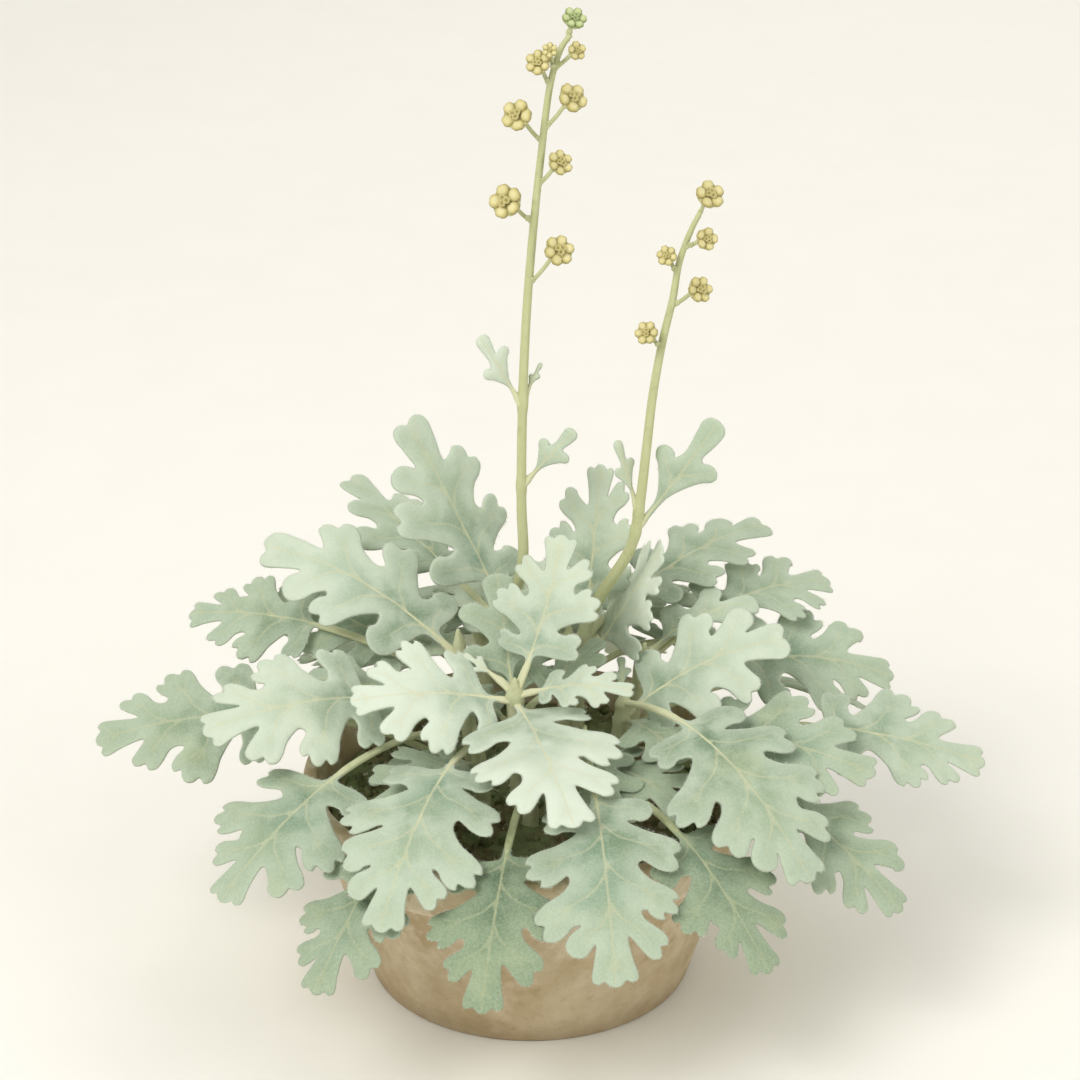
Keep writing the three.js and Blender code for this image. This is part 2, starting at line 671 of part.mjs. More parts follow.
function soil() {
  const bottom = POT.floor + GAP;
  const edgeHeight = SOIL.height - 2 * SOIL.lump;
  const positions = [0, 0, soilTop(0, 0), 0, 0, bottom];
  const indices = [];
  const corner = (ring, k) => 2 + ring * SOIL.sides + (k % SOIL.sides);
  const room = GAP + SOIL.facetRoom;
  const topRadius = innerRadius(edgeHeight) - room;
  const bottomRadius = innerRadius(bottom) - room;
  for (let ring = 0; ring < SOIL.rings; ring++) {
    const last = ring + 1 === SOIL.rings;
    for (let k = 0; k < SOIL.sides; k++) {
      const turn = (2 * Math.PI * k) / SOIL.sides;
      const radius = (topRadius * (ring + 1)) / SOIL.rings;
      const x = radius * Math.cos(turn);
      const y = radius * Math.sin(turn);
      positions.push(x, y, last ? edgeHeight : soilTop(x, y));
    }
  }
  for (let k = 0; k < SOIL.sides; k++) {
    const turn = (2 * Math.PI * k) / SOIL.sides;
    positions.push(bottomRadius * Math.cos(turn), bottomRadius * Math.sin(turn), bottom);
  }
  for (let k = 0; k < SOIL.sides; k++) {
    indices.push(0, corner(0, k), corner(0, k + 1));
    indices.push(1, corner(SOIL.rings, k + 1), corner(SOIL.rings, k));
    for (let ring = 0; ring < SOIL.rings; ring++) {
      const a = corner(ring, k);
      const b = corner(ring, k + 1);
      const c = corner(ring + 1, k);
      const d = corner(ring + 1, k + 1);
      indices.push(a, c, d, a, d, b);
    }
  }
  let body = solidFrom(positions, indices);
  for (const shoot of Object.values(SHOOTS)) {
    body = body.subtract(stemHole(shoot));
  }
  return body;
}

// Flower heads: each faces away from the stalk and to the front, on the small cup that ends its stalk.
// Sizes of the cup and the head's parts are shares of the head's radius.
function seatOf(shoot, [height, x, y, z, radius], seed) {
  const foot = stemPoint(shoot, height);
  const centre = new THREE.Vector3(x, y, z);
  const towardsFront = new THREE.Vector3(0, -1, HEAD.lookUp);
  const facing = centre.clone().sub(foot).normalize();
  const turn = THREE.MathUtils.lerp(HEAD.leastTurn, HEAD.greatestTurn, draw(seed, 1));
  facing.addScaledVector(towardsFront, turn).normalize();
  return { foot, centre, facing, radius };
}

function pedicel({ foot, centre, facing, radius }) {
  const tip = centre.clone().addScaledVector(facing, HEAD.back * radius - GAP);
  const neck = tip.clone().addScaledVector(facing, -PEDICEL.cupLength * radius);
  const radii = [PEDICEL.footRadius, PEDICEL.neckRadius, PEDICEL.cupRadius * radius];
  return tube([foot, neck, tip], radii, PEDICEL.sides);
}

// One closed skin of rings round the axis that the head faces along, lobed where it is widest
function head({ centre, facing, radius }, seed) {
  const turn = new THREE.Quaternion().setFromUnitVectors(new THREE.Vector3(0, 0, 1), facing);
  const lobes = HEAD.fewestLobes + Math.round(draw(seed, 2));
  const sides = HEAD.sidesPerLobe * lobes;
  const corner = (across, along, k) => {
    const angle = (2 * Math.PI * (k + HEAD.sidesPerLobe * draw(seed, 3))) / sides;
    const point = new THREE.Vector3(across * Math.cos(angle), across * Math.sin(angle), along);
    return point.multiplyScalar(radius).applyQuaternion(turn).add(centre);
  };
  const positions = [...corner(0, HEAD.back, 0)];
  const indices = [];
  HEAD.rings.forEach(([across, along, notch]) => {
    for (let k = 0; k < sides; k++) {
      const lobe = Math.floor(k / HEAD.sidesPerLobe);
      const inNotch = k % HEAD.sidesPerLobe === 0;
      const cut = inNotch ? notch : notch * HEAD.lobeSpread * draw(seed, 10 + lobe);
      const rise = HEAD.lobeRise * notch * (draw(seed, 20 + lobe) - 0.5);
      positions.push(...corner(across * (1 - cut), along + rise, k));
    }
  });
  positions.push(...corner(0, HEAD.front, 0));
  const front = 1 + HEAD.rings.length * sides;
  const at = (ring, k) => 1 + ring * sides + (k % sides);
  for (let k = 0; k < sides; k++) {
    indices.push(0, at(0, k + 1), at(0, k));
    indices.push(front, at(HEAD.rings.length - 1, k), at(HEAD.rings.length - 1, k + 1));
    for (let ring = 0; ring + 1 < HEAD.rings.length; ring++) {
      indices.push(at(ring, k), at(ring, k + 1), at(ring + 1, k + 1));
      indices.push(at(ring, k), at(ring + 1, k + 1), at(ring + 1, k));
    }
  }
  return solidFrom(positions, indices);
}

// Assembly
const group = new THREE.Group();

function add(name, solid, surface) {
  const material = new THREE.MeshStandardMaterial({ ...surface, metalness: 0 });
  const mesh = new THREE.Mesh(geometryOf(solid), material);
  mesh.name = name;
  group.add(mesh);
}

add("pot", pot(), CLAY);
add("soil", soil(), EARTH);
for (const [name, shoot] of Object.entries(SHOOTS)) {
  let solid = stem(shoot);
  for (const row of shoot.leaves) solid = solid.add(leaf(shoot, row));
  (shoot.heads ?? []).forEach((row, i) => {
    const seed = row[0] + i;
    const seat = seatOf(shoot, row, seed);
    solid = solid.add(pedicel(seat));
    const [word] = name.split("_");
    add(`${word}_stalk_head_${i + 1}`, head(seat, seed), row[5]);
  });
  add(name, solid, FELT_LEAF);
}

export default group;
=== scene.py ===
"""Potted beach wormwood: felted, lobed leaves and two flower stalks in a clay pan of soil.

The shoots follow the same rules and the same numbers as the solids: a leaf is a flat lobed outline that
is laid on an arched midline. Lengths are in millimetres until a mesh is made, and every draw is seeded.
"""

import math
from types import SimpleNamespace as Values
from typing import NamedTuple

import bpy
import numpy as np
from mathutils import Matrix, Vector, noise
from mathutils.geometry import delaunay_2d_cdt


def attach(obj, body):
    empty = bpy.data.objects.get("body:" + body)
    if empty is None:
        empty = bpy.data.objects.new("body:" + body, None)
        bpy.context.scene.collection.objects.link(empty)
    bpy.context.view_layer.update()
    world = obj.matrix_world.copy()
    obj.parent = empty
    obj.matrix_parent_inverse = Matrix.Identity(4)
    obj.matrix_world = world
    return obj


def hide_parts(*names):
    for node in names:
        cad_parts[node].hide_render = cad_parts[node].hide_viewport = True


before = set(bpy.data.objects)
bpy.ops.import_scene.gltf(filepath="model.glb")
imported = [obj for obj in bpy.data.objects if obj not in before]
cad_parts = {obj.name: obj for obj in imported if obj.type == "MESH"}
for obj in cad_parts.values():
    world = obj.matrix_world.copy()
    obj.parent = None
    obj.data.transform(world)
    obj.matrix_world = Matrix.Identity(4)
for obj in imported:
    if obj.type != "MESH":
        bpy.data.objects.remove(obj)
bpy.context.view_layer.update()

MM = 0.001

# Driving dimensions, as in the solids
POT = Values(
    height=72,
    base_radius=54,
    rim_radius=75,
    collar_height=18,
    wall_top_radius=69,
    inner_base_radius=49.5,
    inner_rim_radius=70,
    floor=8,
    edge=1.5,
    drain_holes=3,
    drain_hole_radius=5,
    drain_hole_ring=26,
)
SOIL = Values(height=64, lump=1.5, gap=0.8, wall_drop=3)
STEM = Values(foot_radius=2.7, top_radius=2.1, tip_radius=0.5, tip_length=5, lean=0.005, depth=4)
STALK = Values(foot_radius=1.9, tip_radius=0.8)
LEAF = Values(
    half_thickness=0.42,
    cup=0.004,
    wave=0.06,
    wave_turn=7.5,
    flank=0.88,
    base_flank=0.5,
    tip_flank=0.54,
    flank_end=0.82,
    first_sinus=0.8,
    tip_sinus=0.75,
    sinus_room=0.02,
    reach_spread=0.08,
    half_spread=0.07,
    sinus_spread=0.09,
    angle_spread=4,
    base_half=0.02,
    shoulder_half=0.034,
    shoulder=0.6,
)
LOBE_DRAWS = Values(left=10, right=50, each=5)
HEAD = Values(back=-0.5, fewest_lobes=5, least_turn=0.8, greatest_turn=1.4, look_up=0.15)
CAMERA = Values(elevation=25, distance=1056, aim=(3.2, 0, 155), lens=110, sensor=36)

# What only this finer model has. A pair is (height, how far it reaches) where it says nothing else.
BLADE = Values(
    rounding=1.0,
    quilt=(0.4, 1.8),
    vein_depth=0.16,
    swell=(0.35, 7.0),
    fine_swell=(0.12, 2.6),
    curl=(0.9, 13.0),
    curl_from=22,
    droop=(0.35, 1.2),
    droop_from=8,
    smooth_base=0.15,
    under_quilt=0.5,
)
# Veins. Each pair is the strength at the start and at the end, and a fork's place is a share of the reach
VEIN = Values(midrib=(1.0, 0.45), lobe=(0.62, 0.42), tooth=(0.4, 0.15), end_tooth=(0.4, 0.2))
FORK = Values(lobe=0.5, end_lobe=0.45, midrib_end=0.93)
# Leaf stalk. A taper is (what it loses by the tip, power)
PETIOLE = Values(
    half_width=1.3,
    half_height=1.15,
    taper=(0.8, 0.7),
    height_taper=(0.75, 0.6),
    swollen_foot=(0.35, 3),
    loss_on_blade=0.35,
    sink=0.25,
    sink_at_base=0.35,
    groove=0.3,
    blade_share=0.9,
    step=1.6,
)
# The short stalk of a head, whose radius by the head is a share of the head's
PEDICEL = Values(foot_radius=0.95, waist_radius=0.67, head_share=0.36, sag=0.04)
HAIR = Values(per_step=2, least=0.3, most=0.95, width=0.09, splay=0.45, lift=0.3, foot_lift=0.3, root=0.25)
# Where a leaf leaves a stem, the pot's turning lines, and the roughness of the soil
STEM_JOINT = (0.3, 2.2)
TURNING = Values(depth=0.1, per_mm=2.1, drift=0.8, left_on_collar=0.4, wobble=0.2)
SOIL_CLODS = (1.1, 6)
SOIL_GRAINS = (0.7, 2.6)

# Steps between points, and the room that a blade's inner points leave to its edge and its veins
FINE = Values(edge=0.8, grid=1.3, rim=0.42, vein=1.2, stem=1.5, pedicel=0.8, pot=1.1)
ROOM = Values(rim_share=0.85, rim_to_vein=0.35, grid=0.85, grid_to_vein=0.5)
CRUMBS = Values(count=900, least=0.5, spread=1.5, rarity=2.2, lumps=0.22, grit_from=0.93)
CIRCLE = Values(stem=15, petiole=12, pedicel=10, bract=10, cup=36, floret=20, pot=180, drain=32, soil=200)

# Leaf forms. A lobe is (place of its root along the midrib, angle, reach, half width, teeth),
# in blade lengths and degrees. The rib is the half width that the sinuses leave.
FORMS = {
    "broad": {
        "left": [(0.09, 78, 0.3, 0.082, 2), (0.28, 58, 0.43, 0.115, 3), (0.53, 48, 0.37, 0.098, 2)],
        "right": [(0.15, 72, 0.35, 0.09, 2), (0.38, 56, 0.42, 0.106, 3), (0.6, 44, 0.32, 0.08, 2)],
        "tip": (0.74, 0, 0.26, 0.11, 3),
        "rib": 0.155,
    },
    "long": {
        "left": [(0.14, 68, 0.28, 0.085, 1), (0.36, 54, 0.36, 0.098, 2), (0.58, 44, 0.3, 0.082, 1)],
        "right": [(0.08, 74, 0.24, 0.075, 1), (0.25, 58, 0.35, 0.092, 2), (0.5, 48, 0.35, 0.098, 2)],
        "tip": (0.72, 0, 0.28, 0.108, 2),
        "rib": 0.135,
    },
    "dense": {
        "left": [
            (0.07, 80, 0.26, 0.074, 1),
            (0.22, 66, 0.38, 0.09, 2),
            (0.42, 54, 0.4, 0.09, 3),
            (0.62, 45, 0.3, 0.074, 2),
        ],
        "right": [
            (0.11, 78, 0.28, 0.078, 2),
            (0.29, 62, 0.4, 0.095, 3),
            (0.49, 50, 0.37, 0.09, 2),
            (0.66, 44, 0.26, 0.066, 1),
        ],
        "tip": (0.77, 0, 0.23, 0.1, 3),
        "rib": 0.15,
    },
    "plain": {
        "left": [(0.2, 62, 0.32, 0.105, 1), (0.48, 46, 0.36, 0.1, 1)],
        "right": [(0.3, 58, 0.34, 0.105, 1), (0.57, 44, 0.32, 0.095, 1)],
        "tip": (0.7, 0, 0.3, 0.11, 1),
        "rib": 0.145,
    },
    "small": {
        "left": [(0.34, 42, 0.3, 0.08, 1)],
        "right": [(0.44, 40, 0.3, 0.08, 1)],
        "tip": (0.66, 0, 0.34, 0.095, 1),
        "rib": 0.08,
    },
}

# The rounded end of a lobe by its number of teeth, from its base side round to its tip side:
# (along, across), in reaches and half widths. The solids have every second or third of these points.
TEETH = {
    1: [(0.76, -0.95), (0.93, -0.66), (1.0, 0.0), (0.93, 0.66), (0.8, 0.93)],
    2: [
        (0.76, -1.0), (0.9, -0.9), (0.96, -0.52), (0.91, -0.14),
        (0.98, 0.1), (1.02, 0.44), (0.95, 0.84), (0.81, 0.97),
    ],
    3: [
        (0.72, -1.03), (0.85, -1.02), (0.92, -0.76), (0.88, -0.48), (0.97, -0.3), (1.01, -0.03),
        (0.97, 0.27), (0.89, 0.47), (0.94, 0.74), (0.88, 0.98), (0.76, 1.0),
    ],
}
# Where the teeth point to, for their veins
TOOTH_TIPS = {1: [(0.88, 0)], 2: [(0.86, -0.62), (0.94, 0.44)], 3: [(0.8, -0.8), (0.93, -0.03), (0.84, 0.74)]}

OCHRE = "ochre_head"
GREEN = "green_bud"


class Shoot(NamedTuple):
    """A stem with its leaves. A flowering one goes on as a stalk through points, with heads on it."""

    foot: tuple
    top: float
    leaves: list
    stalk: list = ()
    heads: list = ()

    def at(self, height):
        """The middle of the stem or stalk at a height."""
        if height <= self.top or not self.stalk:
            lean = 1 + STEM.lean * (height - SOIL.height)
            return np.array([self.foot[0] * lean, self.foot[1] * lean, height])
        points = np.array([self.at(self.top), *self.stalk])
        return np.array([np.interp(height, points[:, 2], points[:, i]) for i in range(3)])


# Shoots, from the foot (x, y) to the height of the top.
# A leaf is (height on the stem, azimuth, reach, tip height, arch, sweep, blade length,
# width, roll towards the front, form, seed, whiteness): millimetres and degrees, azimuth 0 along +X.
# A flower head is (height on the stalk, x, y, z, radius, material).
# The whiteness is partly the leaf's own tone, older and lower leaves being greener, and partly painted shade:
# the inner leaves that lie in the shade of others are made darker
SHOOTS = {
    "heart_shoot": Shoot((-4, -12), 108, leaves=[
        (104, 280, 79, 94, 8, 0, 64, 1.06, 0, "broad", 11, 1.15),
        (104, 207, 64, 112, 8, 4, 50, 1.1, 30, "broad", 12, 1.05),
        (106, 322, 42, 114, 6, 0, 34, 0.8, 30, "long", 13, 0.85),
        (107, 30, 12, 154, 0, -4, 44, 1.1, 20, "broad", 14, 0.85),
        (107, 190, 22, 116, 2, 0, 14, 1, 30, "small", 15, 0.9),
        (100, 120, 22, 134, 0, 0, 40, 1.25, 20, "plain", 16, 0.45),
        (96, 32, 28, 112, 4, 0, 34, 1, 10, "plain", 17, 0.25),
        (96, 84, 26, 106, 8, 0, 34, 1.1, 0, "plain", 18, 0.25),
        (92, 157, 25, 97, 6, 0, 25, 1.3, 0, "plain", 19, 0.25),
    ]),
    "front_shoot": Shoot((0, -24), 90, leaves=[(80, 263, 119, 53, 29, 0, 58, 0.95, 0, "broad", 21, 0.05)]),
    "front_right_shoot": Shoot((15, -18), 94, leaves=[
        (90, 283, 116, 59, 32, 0, 68, 1.02, 0, "dense", 22, 0.6),
        (78, 307, 122, 54, 34, 0, 56, 0.95, 0, "broad", 25, 0.12),
        (84, 314, 72, 82, 12, 0, 46, 1.2, 10, "long", 61, 0.35),
        (92, 296, 62, 84, 8, 0, 36, 1.3, 0, "plain", 65, 0.25),
    ]),
    "front_left_shoot": Shoot((-15, -18), 94, leaves=[
        (92, 245, 108, 69, 26, 0, 68, 1, 5, "dense", 23, 0.7),
        (78, 237, 121, 49, 33, 0, 52, 1, 0, "broad", 24, 0.28),
        (84, 226, 72, 82, 12, 0, 46, 1.2, 10, "long", 62, 0.35),
        (81, 201, 56, 78, 6, 0, 34, 1.3, 0, "plain", 64, 0.3),
    ]),
    "left_shoot": Shoot((-25, -3), 98, leaves=[
        (97, 198, 109, 103, 14, 0, 62, 0.95, 32, "broad", 31, 0.85),
        (88, 218, 122, 66, 26, 0, 58, 1.05, 10, "broad", 27, 0.5),
        (82, 180, 143, 82, 22, 0, 62, 0.95, 30, "broad", 32, 0.5),
        (76, 166, 132, 64, 28, 0, 54, 0.95, -10, "long", 75, 0.3),
        (94, 170, 76, 98, 8, 0, 44, 1.1, 20, "plain", 63, 0.5),
    ]),
    "right_shoot": Shoot((26, -3), 98, leaves=[
        (92, 2, 84, 118, 12, 0, 56, 1.2, 32, "long", 41, 0.85),
        (98, 320, 114, 72, 30, 0, 72, 1, 15, "dense", 26, 0.64),
        (86, 341, 116, 90, 15, 0, 60, 0.95, 26, "broad", 42, 0.5),
        (82, 356, 149, 79, 22, 0, 58, 0.92, 24, "broad", 43, 0.7),
        (80, 333, 132, 53, 34, 0, 58, 0.9, 15, "broad", 28, 0.38),
        (92, 328, 58, 91, 6, 0, 32, 1.3, 10, "plain", 49, 0.3),
        (98, 25, 33, 106, 2, 0, 16, 1, 10, "small", 48, 0.3),
    ]),
    "back_left_shoot": Shoot((-19, 13), 110, leaves=[
        (104, 153, 101, 131, 16, 0, 72, 0.95, 30, "long", 35, 0.82),
        (92, 157, 126, 104, 20, 0, 50, 0.95, 28, "broad", 33, 0.55),
        (88, 148, 104, 108, 16, 0, 50, 1, 28, "broad", 34, 0.5),
        (86, 138, 104, 80, 20, 0, 58, 1, 0, "broad", 84, 0.6),
        (99, 133, 57, 103, 8, 0, 28, 1.1, 0, "plain", 37, 0.45),
    ]),
    "far_right_shoot": Shoot((31, 15), 104, leaves=[
        (100, 30, 118, 112, 18, 0, 52, 0.95, 22, "broad", 45, 0.6),
        (90, 14, 126, 90, 22, 0, 60, 0.95, 26, "broad", 44, 0.55),
        (78, 28, 132, 62, 28, 0, 54, 0.95, -10, "long", 76, 0.5),
        (103, 22, 82, 117, 12, 0, 40, 1.1, 15, "plain", 47, 0.7),
    ]),
    "rear_left_shoot": Shoot((-14, 36), 98, leaves=[
        (94, 113, 108, 84, 28, 0, 62, 1, 5, "dense", 83, 0.75),
        (78, 100, 122, 56, 32, 0, 58, 0.95, 0, "broad", 73, 0.4),
        (80, 126, 126, 60, 30, 0, 58, 0.95, 0, "broad", 74, 0.45),
    ]),
    "rear_right_shoot": Shoot((11, 38), 98, leaves=[
        (88, 88, 108, 74, 26, 0, 64, 1, 0, "broad", 82, 0.8),
        (80, 48, 124, 62, 30, 0, 58, 0.95, 0, "broad", 71, 0.4),
        (78, 74, 122, 54, 32, 0, 58, 0.95, 0, "broad", 72, 0.4),
    ]),
    "tall_flowering_shoot": Shoot((-5, 27), 112, stalk=[
        (-2.4, 27, 135), (-2.8, 27, 156), (-2.5, 27, 185), (-1.2, 27, 220), (1, 27, 250),
        (3.6, 27, 276), (6.6, 27, 299), (10, 27, 310), (12.6, 27, 313.6),
    ], leaves=[
        (108, 124, 74, 171, 2, 0, 66, 1.1, 10, "long", 51, 0.75),
        (104, 125, 110, 137, 4, 0, 58, 1, 0, "long", 36, 0.7),
        (106, 82, 84, 108, 16, 0, 52, 1, -5, "broad", 91, 0.9),
        (100, 112, 78, 106, 12, 0, 46, 1, -10, "long", 92, 0.85),
        (190, 125, 28, 216, 0, 0, 26, 1, 70, "small", 54, 0.95),
        (193, 83, 30, 204, 0, 0, 11, 0.8, 70, "small", 55, 0.8),
        (162, 59, 28, 183, 0, 0, 24, 1.1, 70, "small", 56, 0.7),
    ], heads=[
        (232, 9, 22, 245, 5.3, OCHRE),
        (252.5, -7.2, 24, 260.6, 5.8, OCHRE),
        (265, 9.3, 25, 273, 4.4, OCHRE),
        (279, -3.8, 23, 289, 5.3, OCHRE),
        (283.5, 13.1, 25, 294, 5.1, OCHRE),
        (297, 2.7, 24, 305.5, 4.3, OCHRE),
        (302, 6.2, 22.5, 310, 2.6, OCHRE),
        (303, 14.4, 25, 309, 3.2, OCHRE),
        (312, 13.6, 27, 318.5, 4.1, GREEN),
    ]),
    "short_flowering_shoot": Shoot((15, 20), 112, stalk=[
        (33.2, 20, 144), (35.6, 20, 158), (37.6, 20, 178), (39.4, 20, 197), (42.2, 20, 215.5),
        (45.2, 20, 230), (47, 20, 242), (50.4, 20, 252.5), (53.4, 20, 259),
    ], leaves=[
        (108, 41, 107, 128, 14, 0, 58, 0.9, 16, "long", 46, 0.62),
        (108, 62, 50, 162, 2, 0, 48, 0.85, 0, "broad", 52, 0.8),
        (96, 25, 48, 143, -2, 4, 44, 1.2, 25, "broad", 53, 1.15),
        (98, 60, 108, 88, 28, 0, 62, 1, -5, "dense", 81, 0.7),
        (104, 52, 86, 110, 14, 0, 46, 1, 0, "long", 93, 0.8),
        (149, 16, 63, 189, -2, 0, 43, 1.1, 70, "small", 57, 0.65),
        (156, 39, 36, 180, 0, 0, 22, 0.8, 70, "small", 58, 0.75),
    ], heads=[
        (213, 37, 16, 219.7, 4.1, OCHRE),
        (227, 53.3, 18, 233.5, 4.6, OCHRE),
        (238, 43, 17.5, 245, 3.5, OCHRE),
        (247, 55, 15, 251.5, 3.9, OCHRE),
        (257, 56, 20, 264, 5, OCHRE),
    ]),
}


# Numbers and lines
def draw(seed, place):
    """The same number, from 0 to 1, each time for a seed and a place in its row."""
    x = math.sin(seed * 12.9898 + place * 78.233) * 43758.5453
    return x - math.floor(x)


def draw_around(middle, spread, seed, place):
    return middle + spread * (2 * draw(seed, place) - 1)


def unit(v):
    return v / np.maximum(np.linalg.norm(v, axis=-1, keepdims=True), 1e-9)


def smoothstep(low, high, x):
    t = np.clip((x - low) / (high - low), 0, 1)
    return t * t * (3 - 2 * t)


def turns(count):
    """The angles of that many equal steps round a circle."""
    return 2 * math.pi * np.arange(count) / count


def travel(points):
    """How far each point lies along the line through them all."""
    return np.concatenate([[0], np.cumsum(np.linalg.norm(np.diff(points, axis=0), axis=1))])


# The knots that each blend of a smooth line lies between, down to the one that gives the line
SPANS = [[(0, 1), (1, 2), (2, 3)], [(0, 2), (1, 3)], [(1, 2)]]


def through(points, step):
    """A smooth line through the points, in steps of about that length."""
    points = np.array(points, float)
    before = np.vstack([2 * points[0] - points[1], points[:-2]])
    after = np.vstack([points[2:], 2 * points[-1] - points[-2]])
    line = []
    for blends in zip(before, points[:-1], points[1:], after):
        knots = [0.0]
        for a, b in zip(blends, blends[1:]):
            knots.append(knots[-1] + max(np.linalg.norm(b - a), 1e-6) ** 0.5)
        count = max(2, int(round(np.linalg.norm(blends[2] - blends[1]) / step)))
        t = np.linspace(knots[1], knots[2], count, endpoint=False)[:, None]
        for spans in SPANS:
            pairs = zip(blends, blends[1:])
            spans = [(knots[i], knots[j]) for i, j in spans]
            blends = [(q - t) / (q - p) * a + (t - p) / (q - p) * b for (p, q), (a, b) in zip(spans, pairs)]
        line += blends
    return np.vstack([*line, points[-1:]])


def segment_distance(points, starts, ends):
    """Distance from each point to each segment, and how far along the segment its foot is, 0 to 1."""
    along = ends - starts
    offset = points[:, None] - starts[None]
    share = np.einsum("psk,sk->ps", offset, along) / np.maximum((along**2).sum(1), 1e-12)
    share = np.clip(share, 0, 1)
    gap = offset - share[..., None] * along[None]
    return np.sqrt((gap**2).sum(-1)), share


def clear_of(points, starts, ends, room):
    """Which points keep that much room from every segment."""
    return segment_distance(points, starts, ends)[0].min(1) > room


def inside(points, outline):
    """Which points lie inside the closed outline."""
    x, y = points[:, :1], points[:, 1:]
    x0, y0 = outline[:, 0], outline[:, 1]
    x1, y1 = np.roll(x0, -1), np.roll(y0, -1)
    crosses = (y0 > y) != (y1 > y)
    rise = np.where(y1 == y0, 1e-12, y1 - y0)
    return ((x < (x1 - x0) * (y - y0) / rise + x0) & crosses).sum(1) % 2 == 1


def edge_frame(loop):
    """The ways along a closed line and to its left, at each of its points."""
    along = unit(np.roll(loop, -1, axis=0) - np.roll(loop, 1, axis=0))
    return along, np.column_stack([-along[:, 1], along[:, 0]])


def loop_links(first, count):
    """The edges of a closed line, as pairs of its points' numbers."""
    return [(first + i, first + (i + 1) % count) for i in range(count)]


def triangulate(points, links, wanted):
    """Flat anticlockwise triangles that keep the links as edges, where their centres are wanted."""
    found = delaunay_2d_cdt([Vector(p) for p in points], links, [], 0, 1e-4)
    flat = np.array([tuple(v) for v in found[0]])
    triangles = np.array(found[2])
    triangles = triangles[wanted(flat[triangles].mean(1))]
    a, b, c = (flat[triangles[:, i]] for i in range(3))
    doubled_area = (b[:, 0] - a[:, 0]) * (c[:, 1] - a[:, 1]) - (b[:, 1] - a[:, 1]) * (c[:, 0] - a[:, 0])
    triangles[doubled_area < 0] = triangles[doubled_area < 0][:, ::-1]
    return flat, triangles[np.abs(doubled_area) > 1e-5]


# Meshes
def new_mesh(name, vertices, faces, materials):
    mesh = bpy.data.meshes.new(name)
    mesh.from_pydata(vertices, [], faces)
    for material in materials:
        mesh.materials.append(material)
    mesh.polygons.foreach_set("use_smooth", [True] * len(faces))
    return mesh


def show(name, data):
    """A mesh, lamp or camera as an object of the scene."""
    shown = bpy.data.objects.new(name, data)
    bpy.context.scene.collection.objects.link(shown)
    return shown


class Skin:
    """Collects the vertices, faces and fields of one piece."""

    FIELDS = ("vein", "strength", "edge", "tone", "along", "under")

    def __init__(self):
        self.vertices = []
        self.faces = []
        self.materials = []
        self.fields = {name: [] for name in self.FIELDS}
        self.count = 0

    def add(self, vertices, faces, material=0, **fields):
        vertices = np.asarray(vertices, float)
        self.vertices.append(vertices)
        self.faces += [tuple(int(i) + self.count for i in face) for face in faces]
        self.materials += [material] * len(faces)
        for name in self.FIELDS:
            value = fields.get(name, 0.0)
            self.fields[name].append(np.broadcast_to(np.asarray(value, float), len(vertices)))
        self.count += len(vertices)

    def piece(self, name, materials, node, slot):
        mesh = new_mesh(name, (np.vstack(self.vertices) * MM).tolist(), self.faces, materials)
        mesh.polygons.foreach_set("material_index", self.materials)
        for field, values in self.fields.items():
            attribute = mesh.attributes.new(field, "FLOAT", "POINT")
            attribute.data.foreach_set("value", np.concatenate(values).astype(np.float32))
        mesh.update()
        piece = show(name, mesh)
        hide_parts(node)
        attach(piece, "root")


def ring_faces(rings, sides, closed_ends=True):
    """Faces of a tube of rings, each turned the same way round its line."""
    faces = []
    for i in range(rings - 1):
        for k in range(sides):
            a = i * sides + k
            b = i * sides + (k + 1) % sides
            faces.append((a, b, b + sides, a + sides))
    if closed_ends:
        faces.append(tuple(range(sides))[::-1])
        faces.append(tuple((rings - 1) * sides + k for k in range(sides)))
    return faces


def hoops(line, side, front, wide, tall):
    """Corners of rings round a line, from how far each lies to its side and to its front."""
    side = np.broadcast_to(side, line.shape)[:, None]
    front = np.broadcast_to(front, line.shape)[:, None]
    return (line[:, None] + side * wide[..., None] + front * tall[..., None]).reshape(-1, 3)


def revolve(radii, heights, turn, centre=(0.0, 0.0)):
    """Rings of corners round an upright axis."""
    x, y = centre[0] + radii * np.cos(turn), centre[1] + radii * np.sin(turn)
    return np.stack([x, y, np.repeat(heights, len(turn), axis=1)], axis=-1)


def tube(skin, points, radii, sides, ribs, rib_depth=0.06, **fields):
    """A tube through points with a radius at each, and lengthwise ribs that twist slowly."""
    along = unit(np.gradient(points, axis=0))
    steep = abs(unit(points[-1] - points[0])[2]) > math.sqrt(0.5)
    side = unit(np.cross([0.0, 1.0, 0.0] if steep else [0.0, 0.0, 1.0], along))
    front = np.cross(along, side)
    turn = turns(sides)
    swell = 1 + rib_depth * np.cos(ribs * turn[None] + 0.03 * travel(points)[:, None])
    reach = radii[:, None] * swell
    corners = hoops(points, side, front, reach * np.cos(turn), reach * np.sin(turn))
    for name, value in fields.items():
        fields[name] = np.repeat(value, sides) if np.ndim(value) else value
    skin.add(corners, ring_faces(len(points), sides), 1, **fields)


